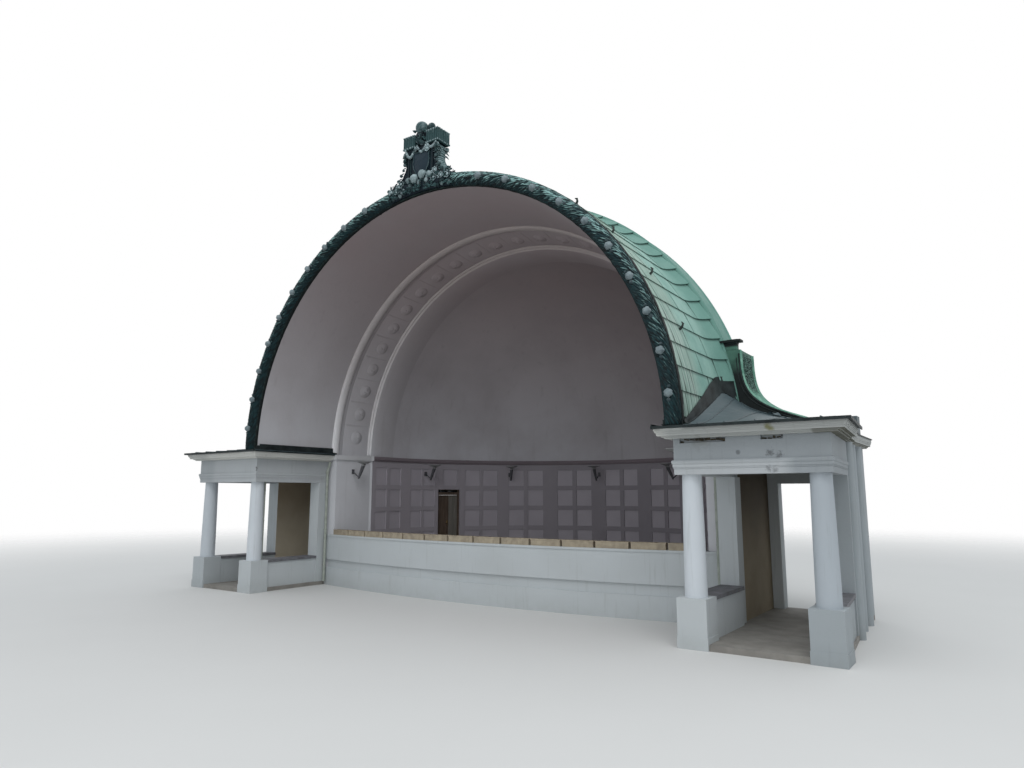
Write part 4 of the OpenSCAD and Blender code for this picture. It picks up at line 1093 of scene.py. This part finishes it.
    def swags(self, work, chance):
        """Strings of beads that hang under the blocks, with a rosette where two of them meet."""
        for x0, x1, z0, dip in ((-0.6, -0.2, 1.05, 0.27), (-0.12, 0.26, 1.07, 0.22), (0.3, 0.62, 1.02, 0.12)):
            for t in spread(0, 1, 12):
                hang = math.sin(math.pi * t)
                seat = self.at(x0 + (x1 - x0) * t, -0.28, z0 - dip * hang)
                tone, wear_and_painted_light = chance.random(), chance.uniform(0.3, 0.8)
                work.fruit(seat, 0.032 + 0.014 * hang, tone=tone, wear_and_painted_light=wear_and_painted_light, rings=5, sides=8)
        self.rosette(work, self.at(0.32, -0.3, 0.88), 0.105, FORWARD, 0.85)
        self.rosette(work, self.at(-0.18, -0.29, 0.98), 0.06, FORWARD, 0.5)

    def rosette(self, work, middle, radius, out, wear_and_painted_light):
        """A flower of eight petals round a button."""
        side = out.orthogonal().normalized()
        up = out.cross(side)
        for k in range(8):
            a = 2 * math.pi * k / 8
            along = side * math.cos(a) + up * math.sin(a) + out * 0.3
            work.leaf(middle - out * 0.02, along, out, radius * 1.2, radius * 0.85, 0.2, tone=0.9, bright=1.2)
        turn = Matrix((side, up, out)).transposed()
        size = (radius * 0.42, radius * 0.42, radius * 0.36)
        work.fruit(middle + out * 0.01, size, turn, tone=0.9, wear_and_painted_light=wear_and_painted_light, rings=6, sides=10)

    def rim(self, x):
        """Height of the rim at x, from its top, and how far the saddle swells there."""
        return math.sqrt(SKIN**2 - x * x) - SKIN, self.swell(math.degrees(math.asin(x / SKIN)))

    def base(self, work, chance):
        """Fruit, rosettes and leaves along the foot of the crest, down to the inner edge of the rim."""
        for x, lift, size in (
            (-1.12, -0.1, 0.11), (-0.72, 0.0, 0.13), (-0.62, -0.2, 0.1), (0.62, 0.12, 0.11), (0.6, -0.1, 0.12),
            (0.86, -0.08, 0.11), (1.12, -0.08, 0.12), (-0.9, -0.18, 0.09),
        ):
            self.rosette(work, self.at(x, -0.3, self.rim(x)[0] + lift), size, Vector((0, -1, 0.1)), 0.85)
        # two large ribbed fruits lie tilted in the middle
        for x, z, size, lean in ((-0.17, 0.0, 0.16, 35), (0.16, 0.06, 0.155, -20)):
            size = (size * 0.92, size * 0.92, size * 1.12)
            work.fruit(self.at(x, -0.31, z), size, turned(62, lean, 25), 9, 0.14, tone=0.8, wear_and_painted_light=0.65, sides=36)
        for x, z, size in (
            (-0.43, 0.02, 0.1), (0.4, 0.04, 0.1), (0.3, -0.13, 0.085),
            (-0.33, -0.16, 0.08), (0.02, -0.14, 0.09),
        ):
            work.fruit(self.at(x, -0.3, z), size, lobes=5, depth=0.15, tone=0.5, wear_and_painted_light=chance.uniform(0.2, 0.7))
        for _ in range(90):
            x = chance.uniform(-1.3, 1.3)
            height, swell = self.rim(x)
            seat = self.at(x, -0.25 - 0.06 * swell, height + chance.uniform(-0.36, 0.1))
            size, lobes, tone = chance.uniform(0.035, 0.07), chance.choice((0, 4, 5)), chance.random()
            wear_and_painted_light = chance.choice((0.0, 0.1, 0.15, 0.25, 0.45))
            work.fruit(seat, size, lobes=lobes, depth=0.25, tone=tone, wear_and_painted_light=wear_and_painted_light, rings=6, sides=10)
        for _ in range(130):
            x = chance.uniform(-1.3, 1.3)
            height, swell = self.rim(x)
            along = Vector((chance.uniform(-1, 1), -0.3, chance.uniform(-0.9, 0.4)))
            root = self.at(x, -0.27 - 0.06 * swell, height + chance.uniform(-0.38, 0.12))
            work.leaf(root, along, FORWARD, chance.uniform(0.09, 0.15), 0.07, 0.2, chance.random(), bright=0.2)
        for _ in range(36):
            x = chance.uniform(-1.2, 1.2)
            height, swell = self.rim(x)
            root = self.at(x, chance.uniform(-0.2, 0.05 + 0.15 * swell), height + 0.03 + 0.15 * swell)
            along = Vector((chance.uniform(-1, 1), chance.uniform(-0.4, 0.6), 0.1))
            work.leaf(root, along, UP, 0.14, 0.08, 0.1, chance.random(), bright=0.3)

    def ball(self, work, chance):
        """A ball with wound bands in the notch between the blocks, and a ribbed bud on either side behind."""
        work.block(self.at(-0.25, -0.12, 1.0), self.at(0.25, 0.24, 1.46), tone=0.0, wear_and_painted_light=0.0)
        middle = Vector((CREST.x - 0.07, CREST.y - 0.13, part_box("crest_ball")[0].z + 0.29))
        work.fruit(middle, 0.208, turned(28, 24, 0), 7, 0.14, tone=0.7, wear_and_painted_light=0.35, rings=14, sides=42)
        behind = self.at(-0.1, -0.08, 1.5)
        work.fruit(behind, (0.23, 0.17, 0.16), lobes=5, depth=0.2, tone=0.0, wear_and_painted_light=0.0, sides=24)
        for side in (-1, 1):
            seat = self.at(side * 0.2, 0.0, 1.73)
            work.fruit(seat, (0.125, 0.125, 0.14), turned(0, side * 40, 0), 5, 0.2, tone=0.4, wear_and_painted_light=0.3)
        # leaves heaped in the notch carry them
        for _ in range(26):
            root = self.at(chance.uniform(-0.3, 0.2), -0.17 - chance.uniform(0, 0.06), chance.uniform(1.1, 1.6))
            along = Vector((chance.uniform(-1, 1), -0.3, chance.uniform(-0.3, 0.8)))
            work.leaf(root, along, FORWARD, 0.13, 0.09, 0.25, chance.random(), bright=0.4)


class BANDSTAND_OT_wing_roofs(bpy.types.Operator):
    """Seams, flashings and gutter lips on the wing roofs"""

    bl_idname = "bandstand.wing_roofs"
    bl_label = "Wing roof seams and flashings"

    def execute(self, context):
        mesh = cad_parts["wing_roofs"].data
        tree = BVHTree.FromPolygons([v.co for v in mesh.vertices], [p.vertices for p in mesh.polygons])
        seams, flashings = Work(), Work()
        for side in (-1, 1):
            self.seams(seams, tree, side)
            self.valley(flashings, tree, side)
            self.junction(seams, tree, side)
            self.gutter(flashings, seams, side)
        seams.piece("roof_seams", "roof", "zinc_sheet")
        flashings.piece("roof_flashings", "black_sheet", "black_sheet")
        return {"FINISHED"}

    def drop(self, tree, x, y):
        """Height of the wing roof at x, y, or None beside it."""
        hit = tree.ray_cast(Vector((x, y, 14.0)), -UP)
        return hit[0].z if hit[0] else None

    def seams(self, work, tree, side):
        """Folded seams from the eaves up to the shell, and three on the slope behind the band."""
        front, back = WING_FRONT - 0.33, SHELL_BACK - 0.03
        lines = [
            [(x - 0.28 * t**1.5, front + (back - front) * t) for t in spread(0, 1, 24)]
            for x in (8.35, 8.95, 9.6, 10.25, 10.9)
        ]
        lines += [[(x, y) for y in spread(BAND_BACK + 0.03, BAND_BACK + 2.1, 19)] for x in (8.5, 9.2, 9.9)]
        for line in lines:
            path = []
            for x, y in line:
                z = self.drop(tree, side * x, y)
                if z is not None and math.hypot(x, z - SPRING) > SKIN + 0.02:
                    path.append(Vector((side * x, y, z + 0.01)))
            if len(path) > 2:
                work.tube(path, 0.018, 5, 0.4, 0.4)

    def valley(self, work, tree, side):
        """Dark flashing dressed up the shell where the wing roof runs into it."""
        # metres behind the wing's front, and the height of the flashing's upper edge there
        edge = ((0.124, 5.1), (1.104, 5.6), (1.9, 6.04), (2.524, 6.33), (2.9, 6.4), (3.35, 6.43), (3.6, 6.43))
        upper, inner, middle, outer = [], [], [], []
        for y in spread(WING_FRONT - 0.1, SHELL_BACK + 0.004, 60):
            radius = skin_radius(y) + 0.02
            for step in range(240):
                x = 7.5 + 0.005 * step
                z = self.drop(tree, side * x, y)
                if z is not None and math.hypot(x, z - SPRING) >= radius:
                    break
            else:
                continue
            place = y - WING_FRONT
            (a0, h0), (a1, h1) = next(((p, q) for p, q in zip(edge, edge[1:]) if place <= q[0]), edge[-2:])
            top = max(h0 + (h1 - h0) * (place - a0) / (a1 - a0), z + 0.08)
            top += 0.015 * noise.noise(Vector((y * 4, side, 0)))
            for height, lift, row in ((top, 0.004, upper), ((top + z) / 2, 0.014, inner)):
                along = math.acos(min(1.0, (height - SPRING) / (radius + lift)))
                row.append(arch_point(side * math.degrees(along), radius + lift, y))
            middle.append(Vector((side * (x + 0.008), y, z + 0.02)))
            far = self.drop(tree, side * (x + 0.04), y)
            outer.append(Vector((side * (x + 0.04), y, (far if far is not None else z) + 0.008)))
        work.sheet([upper, inner, middle, outer], 0.3, 0.3)
        # its rolled edge
        work.tube(outer, 0.012, 5, 0.3, 0.4)

    def gutter(self, work, beads, side):
        """The deep lip of the gutter under the foot of the vault, with a thin pale bead along its middle as a
        painted highlight on the rounded lip.
        """
        low, high = WING_FRONT - 0.38, WING_FRONT + 3.27
        lip = WING_IN - 0.365
        for inset, z0, z1 in ((0.022, 4.79, 4.832), (0.012, 4.83, 4.895)):
            x0, x1 = sorted((side * (lip - inset), side * (lip + 0.012)))
            work.block((x0, low, z0), (x1, high, z1), tone=0.2)
        # its back is dressed up the plaster, which draws in by 48 mm a metre
        start = WING_FRONT + (0.3 if side > 0 else -0.05)
        ends = [(side * (7.475 - 0.048 * (y - WING_FRONT)), y) for y in (start, high)]
        work.sheet([[Vector((*end, z)) for end in ends] for z in (4.83, 5.065)], 0.2, 0.3)
        # painted highlight: a pale bead along the black lip
        beads.tube([Vector((side * (lip - 0.018), y, 4.842)) for y in (low, high)], 0.009, 6, 0.9)

    def junction(self, work, tree, side):
        """Thin pale fillet where the roof meets the buttress, with a curl of loose sheet."""
        path = []
        for x in spread(8.2, 10.3, 59):
            z = self.drop(tree, side * x, SHELL_BACK - 0.04)
            if z is not None:
                path.append(Vector((side * x, SHELL_BACK - 0.012, z + 0.02)))
        work.tube(path, 0.014, 5, 0.9, 0.4)
        curl = []
        for t in spread(0, 1, 13):
            x = 8.95 + 0.28 * t
            y = SHELL_BACK - 0.12 + 0.02 * math.sin(5 * t)
            z = self.drop(tree, side * x, SHELL_BACK - 0.1) + 0.03 + 0.05 * math.sin(math.pi * t)
            twist = 0.03 * math.sin(7 * t)
            curl.append([Vector((side * (x - 0.03 * w), y - 0.05 * w, z + twist * w)) for w in (-1, 0, 1)])
        work.sheet(curl, 0.9, 0.5)


class BANDSTAND_OT_volutes(bpy.types.Operator):
    """Ribs, lacy leaf work and dark caps of the scrolled buttresses"""

    bl_idname = "bandstand.volutes"
    bl_label = "Scrolled buttresses"

    def execute(self, context):
        ribs, lace, dark = Work(), Work(), Work()
        for side in (-1, 1):
            self.back(ribs, lace, side)
            self.cap(dark, side)
        ribs.piece("volute_ribs", "verdigris", "copper_green")
        lace.piece("volute_lace", "crest_lace", "copper_green")
        dark.piece("volute_caps", "black_sheet", "copper_dark", smooth=30, bevel=0.006)
        return {"FINISHED"}

    def line(self, z):
        """Distance of the buttress's outer face from the axis at a height."""
        return 8.235 + 1.75 * math.exp(-((max(0.0, z - 5.15) / 0.47) ** 1.25))

    def path(self, top):
        """The outer face from a height down to the roof, as (x, z) points about 50 mm apart."""
        foot = CORNICE_TOP + 0.05
        return [(self.line(z), z) for z in spread(top, foot, round((top - foot) / 0.05))]

    def back(self, ribs, lace, side):
        """Edge strips all the way, ribs down the tail, and lacy leaf work between the strips above."""
        y0, y1 = SHELL_BACK + 0.01, BAND_BACK - 0.01
        whole, tail = self.path(7.16), self.path(6.12)
        for y, thick in ((y0 + 0.03, 0.032), (y0 + 0.14, 0.018), (y1 - 0.14, 0.018), (y1 - 0.03, 0.032)):
            ribs.tube([Vector((side * (x + 0.006), y, z + 0.004)) for x, z in whole], thick, 8, 0.8, 0.0)
        radii = [0.008 + 0.018 * min(1.0, k / 6) for k in range(len(tail))]
        for y in spread(y0 + 0.15, y1 - 0.15, 6)[1:-1]:
            ribs.tube([Vector((side * (x + 0.004), y, z + 0.004)) for x, z in tail], radii, 8, 0.6, 0.0)
        chance = random.Random(17)
        wide = y1 - y0 - 0.42
        for row in range(17):
            z = 7.08 - 0.057 * row
            for col in range(12):
                y = y0 + 0.21 + wide * (col + (0.5 if row % 2 else 0.2)) / 12
                root = Vector((side * (self.line(z) + 0.012), y, z))
                along = Vector((side * 0.1, chance.choice((-0.8, 0.8)), -1.0))
                lace.leaf(root, along, Vector((side, 0, 0.1)), 0.11, 0.06, 0.3, chance.random(), steps=3)

    def cap(self, work, side):
        """Plates on the neck and the shoulder, and the folded edge of the front face."""
        low, high = SHELL_BACK + 0.03, SHELL_BACK + 0.2
        plates = ((7.165, 7.19, 8.16, 0.0), (7.35, 7.392, 8.17, 0.02), (7.448, 7.468, 8.19, 0.02))
        for z0, z1, reach, grow in plates:
            x0, x1 = sorted((side * 7.88, side * reach))
            work.block((x0, low - grow, z0), (x1, high + grow, z1), tone=0.2)
        for inset, thick in ((0.025, 0.02), (0.1, 0.012)):
            y = SHELL_BACK - 0.006
            path = [Vector((side * (x - inset), y, z - inset * 0.5)) for x, z in self.path(7.1 - inset)]
            work.tube(path, thick, 6, 0.3, 0.5)


class BANDSTAND_OT_wings(bpy.types.Operator):
    """Pipe straps, architrave mouldings and broken plaster of the two wings"""

    bl_idname = "bandstand.wings"
    bl_label = "Wing fittings and damage"

    def execute(self, context):
        self.straps()
        self.architraves()
        self.broken_frieze()
        return {"FINISHED"}

    def architraves(self):
        """The moulding run in plaster round each architrave, undercut so that it throws a line of shadow."""
        work = Work()
        # the outer side of a wing draws in by 85 mm a metre
        depth = 2.9
        taper = 0.085 * depth
        # metres out from the architrave's face, and height
        profile = (
            (-0.01, 4.084), (0.03, 4.082), (0.044, 4.068), (0.044, 4.02),
            (0.036, 3.996), (0.03, 3.99), (-0.01, 3.99),
        )
        for side in (-1, 1):
            work.sheet([
                [Vector((side * (x + dx * out), y + dy * out, z)) for out, z in profile]
                for x, y, dx, dy in (
                    (WING_IN, WING_FRONT + 3.18, -1, 0), (WING_IN, WING_FRONT, -1, -1),
                    (WING_OUT, WING_FRONT, 1, -1), (WING_OUT - taper, WING_FRONT + depth, 1, 0),
                )
            ], loop=True, lids=1)
        work.piece("architrave_mouldings", "frieze", "white_render", smooth=0)

    def straps(self):
        """Straps that hold the four pipes, each with its bolt."""
        work = Work()
        pipes = (
            (WING_IN - 0.11, WING_FRONT + 3.088, (0.7, 2.0, 3.3, 4.12)),
            (WING_IN + 0.33, WING_FRONT + 0.61, (1.35, 2.4, 3.45)),
        )
        for side in (-1, 1):
            for x, y, levels in pipes:
                turns = spread(0, 2 * math.pi, 16)
                ring = [(side * x + 0.056 * math.cos(a), y + 0.056 * math.sin(a)) for a in turns]
                for z in levels:
                    work.sheet([[Vector((*p, level)) for p in ring] for level in (z, z + 0.035)], 0.4, 0.3)
                    bolt = [Vector((side * (x + reach), y, z + 0.018)) for reach in (0.05, 0.1)]
                    work.tube(bolt, 0.01, sides=6)
        work.piece("pipe_straps", "pipe", "pipe_metal", thick=0.004)

    def broken_frieze(self):
        """Rotten lath and mortar in the two places where the plaster is gone, coloured near black as painted
        shade.
        """
        chance = random.Random(3)
        work = Work()
        for x0, x1, foot in ((7.81, 8.84, 4.467), (9.62, 10.06, 4.483)):
            x = x0
            while x < x1:
                wide, tall = chance.uniform(0.05, 0.14), chance.uniform(0.02, 0.06)
                y = WING_FRONT + 0.068 - chance.uniform(0.015, 0.05)
                turn = Euler((0, chance.uniform(-0.15, 0.15), chance.uniform(-0.1, 0.1))).to_matrix()
                z = foot + chance.uniform(0, FRIEZE_TOP - foot - tall)
                work.block((x, y, z), (min(x + wide, x1), WING_FRONT + 0.069, z + tall), turn, wear_and_painted_light=0.2)
                x += wide + chance.uniform(0.005, 0.03)
        work.piece("broken_plaster", "shaded_bare_mortar", "white_render", smooth=0, bevel=0.004)


class BANDSTAND_OT_stage_fittings(bpy.types.Operator):
    """Soil in the troughs, welts on the apse dome, and door furniture"""

    bl_idname = "bandstand.stage_fittings"
    bl_label = "Stage fittings"

    def execute(self, context):
        self.soil()
        self.dome_welts()
        self.door()
        return {"FINISHED"}

    def soil(self):
        """Crumbly soil that fills each trough to just below its lip."""
        work = Work()
        # radius of the bowed front wall and where its middle lies, and the troughs that stand on it
        bow = 36.977
        middle = WING_FRONT + 2.4 + bow
        troughs, apart = 14, 1.035
        for i in range(troughs):
            turn = Matrix.Rotation((i - (troughs - 1) / 2) * apart / bow, 3, "Z")
            rows = []
            for k, y in enumerate(spread(-bow + 0.074, -bow + 0.266, 12)):
                rows.append([])
                for j, x in enumerate(spread(-0.455, 0.455, 36)):
                    p = turn @ Vector((x, y, 0))
                    lump = noise.noise(Vector((p.x * 9, p.y * 9, i))) * 0.5 + 0.5
                    heap = 0.0 if k in (0, 12) or j in (0, 36) else 0.012 + 0.03 * lump
                    rows[-1].append(Vector((p.x, middle + p.y, WALL_TOP + 0.155 + heap)))
            work.sheet(rows, 0.5, 0.2)
        work.piece("trough_soil", "soil", "trough_beige")

    def on_dome(self, turn, rise):
        """A point on the apse's copper dome, at angles in degrees round it and up from its foot."""
        a, e = math.radians(turn), math.radians(rise)
        reach = DOME_R * math.cos(e)
        return Vector((reach * math.cos(a), APSE_MID + reach * math.sin(a), SPRING + DOME_R * math.sin(e)))

    def dome_welts(self):
        """Standing seams and cross welts on the copper of the apse dome."""
        work = Work()
        for turn in spread(0, 180, 24):
            work.tube([self.on_dome(turn, rise) for rise in spread(2, 86, 24)], 0.018, 5, 0.5, 0.25)
        for row in range(1, 9):
            for k in range(24):
                rise = 10 * row + (2.2 if k % 2 else -2.2)
                welt = [self.on_dome(t, rise) for t in spread(7.5 * k, 7.5 * k + 7.5, 4)]
                work.tube(welt, 0.012, 5, 0.4, 0.55)
        work.piece("dome_welts", "copper", "copper_green")

    def door(self):
        """Handle, plate and brush seal on the wide leaf, and the panes of the fanlight."""
        # the doorway runs at this angle from +X, and its wall stands round the middle of the apse
        phi = math.radians(65.5)
        along = Vector((math.cos(phi), math.sin(phi), 0))
        out = Vector((-math.sin(phi), math.cos(phi), 0))
        origin = Vector((0, APSE_MID, 0)) + out * APSE_R

        def at(w, lift, z):
            """Point metres along the doorway from its middle, out from its face, and above the stage."""
            return origin + along * w + out * lift + UP * (STAGE_Z + z)

        handle = Work()
        handle.sheet([[at(w, 0.157, 1.05 + h) for w in (-0.02, 0.02)] for h in (-0.11, 0.11)])
        handle.tube([at(0, 0.156, 1.05), at(0, 0.11, 1.05), at(-0.1, 0.105, 1.05)], 0.009, up=UP)
        handle.piece("door_handle", "brass", "door_timber", body="stage_door", thick=0.002)
        # a black brush seal runs up the meeting edge of the wide leaf
        seal = Work()
        section = ((0.013, 0.203), (0.017, 0.197), (0.053, 0.197), (0.057, 0.203))
        seal.sheet([[at(w, lift, z) for w, lift in section] for z in (0.03, 2.17)], 0.2, 0.2)
        seal.piece("brush_seal", "black_sheet", "door_timber", body="stage_door")
        panes = Work()
        for sides in ((-0.455, -0.01), (0.01, 0.455)):
            panes.sheet([[at(w, 0.128, z) for w in sides] for z in (2.35, 2.44)])
        panes.piece("fanlight_panes", "glass", "door_timber", thick=0.004)


class BANDSTAND_OT_studio(bpy.types.Operator):
    """Pale floor, soft light and the camera at the photograph's place"""

    bl_idname = "bandstand.studio"
    bl_label = "Studio"

    def execute(self, context):
        self.floor(context.scene)
        self.world(context.scene)
        self.lamps(context.scene)
        self.camera(context.scene)
        context.scene.view_settings.view_transform = "Standard"
        return {"FINISHED"}

    def floor(self, scene):
        """A round matt floor that fades into the white background far out."""
        material, add, where = begin("studio_floor")
        shade = add("TexNoise", where, Scale=0.3, Detail=2.0)
        matt = add("BsdfPrincipled", Base_Color=add("Mix", shade, "#cfcfcd", "#d3d3d1", **TINT), Roughness=0.9)
        reach = add("VectorMath", where, operation="LENGTH")
        fade = add("MapRange", reach, 16.0, 60.0, interpolation_type="SMOOTHSTEP")
        add("OutputMaterial", Surface=add("MixShader", fade, matt, add("BsdfTransparent")))
        mesh = bpy.data.meshes.new("studio_floor")
        turns = [math.pi * i / 48 for i in range(96)]
        mesh.from_pydata([(80 * math.cos(t), 80 * math.sin(t), -0.001) for t in turns], [], [tuple(range(96))])
        mesh.materials.append(material)
        floor = bpy.data.objects.new("studio_floor", mesh)
        scene.collection.objects.link(floor)

    def world(self, scene):
        """An even grey sky that brightens toward the zenith, seen as white."""
        scene.world = bpy.data.worlds.new("studio_sky")
        scene.world.use_nodes = True
        scene.world.node_tree.nodes.clear()
        add = functools.partial(put, scene.world.node_tree)
        rays = add("LightPath").outputs
        seen = add("Math", rays["Is Camera Ray"], rays["Is Glossy Ray"], operation="MAXIMUM")
        seen = add("Math", seen, rays["Is Transmission Ray"], operation="MAXIMUM")
        height = add("SeparateXYZ", add("TexCoord").outputs["Generated"]).outputs["Z"]
        lit = add("Background", "#eef3f8", add("MapRange", height, 0.0, 1.0, 0.55, 1.1))
        white = add("Background", "#ffffff", 1.0)
        add("OutputWorld", Surface=add("MixShader", seen, lit, white))

    def lamps(self, scene):
        """One broad lamp high at the front right, as from an open sky, and a weaker one low in front."""
        for name, place, size, power in (
            ("key_softbox", (16.0, -22.0, 34.0), 22.0, 4200.0),
            ("fill_softbox", (12.0, -40.0, 10.0), 16.0, 900.0),
        ):
            data = bpy.data.lights.new(name, "AREA")
            data.shape, data.size, data.energy = "SQUARE", size, power
            lamp = bpy.data.objects.new(name, data)
            lamp.location = place
            lamp.rotation_mode = "QUATERNION"
            lamp.rotation_quaternion = (Vector(place) - Vector((0, -2, 4))).to_track_quat("Z", "Y")
            scene.collection.objects.link(lamp)

    def camera(self, scene):
        """Lens and place solved from the building's own lines in the photograph."""
        data = bpy.data.cameras.new("photo_camera")
        data.sensor_width, data.lens = 36.0, 25.12
        data.clip_start, data.clip_end = 0.1, 400.0
        camera = bpy.data.objects.new("photo_camera", data)
        camera.location = (13.919, -21.950, 3.309)
        camera.rotation_euler = (math.radians(90 + 8.82), 0.0, math.radians(34.68))
        scene.collection.objects.link(camera)
        scene.camera = camera


class BANDSTAND_PT_panel(bpy.types.Panel):
    """Shows the bandstand's sizes and colours, and a button for each step"""

    bl_idname = "BANDSTAND_PT_panel"
    bl_label = "Bandstand"
    bl_space_type = "VIEW_3D"
    bl_region_type = "UI"
    bl_category = "Bandstand"

    def draw(self, context):
        for settings in (context.scene.bandstand_sizes, context.scene.bandstand_colours):
            for name in settings.__annotations__:
                self.layout.prop(settings, name)
        for operator in OPERATORS:
            self.layout.operator(operator.bl_idname)


OPERATORS = (
    BANDSTAND_OT_finishes,
    BANDSTAND_OT_shell_copper,
    BANDSTAND_OT_rim,
    BANDSTAND_OT_garland,
    BANDSTAND_OT_archivolt,
    BANDSTAND_OT_crest,
    BANDSTAND_OT_wing_roofs,
    BANDSTAND_OT_volutes,
    BANDSTAND_OT_wings,
    BANDSTAND_OT_stage_fittings,
    BANDSTAND_OT_studio,
)
CLASSES = (BandstandSizes, BandstandColours, *OPERATORS, BANDSTAND_PT_panel)


def register():
    for cls in CLASSES:
        bpy.utils.register_class(cls)
    bpy.types.Scene.bandstand_sizes = bpy.props.PointerProperty(type=BandstandSizes)
    bpy.types.Scene.bandstand_colours = bpy.props.PointerProperty(type=BandstandColours)


def unregister():
    del bpy.types.Scene.bandstand_colours
    del bpy.types.Scene.bandstand_sizes
    for cls in reversed(CLASSES):
        bpy.utils.unregister_class(cls)


def main():
    register()
    for operator in OPERATORS:
        group, name = operator.bl_idname.split(".")
        getattr(getattr(bpy.ops, group), name)()


if __name__ == "__main__":
    main()
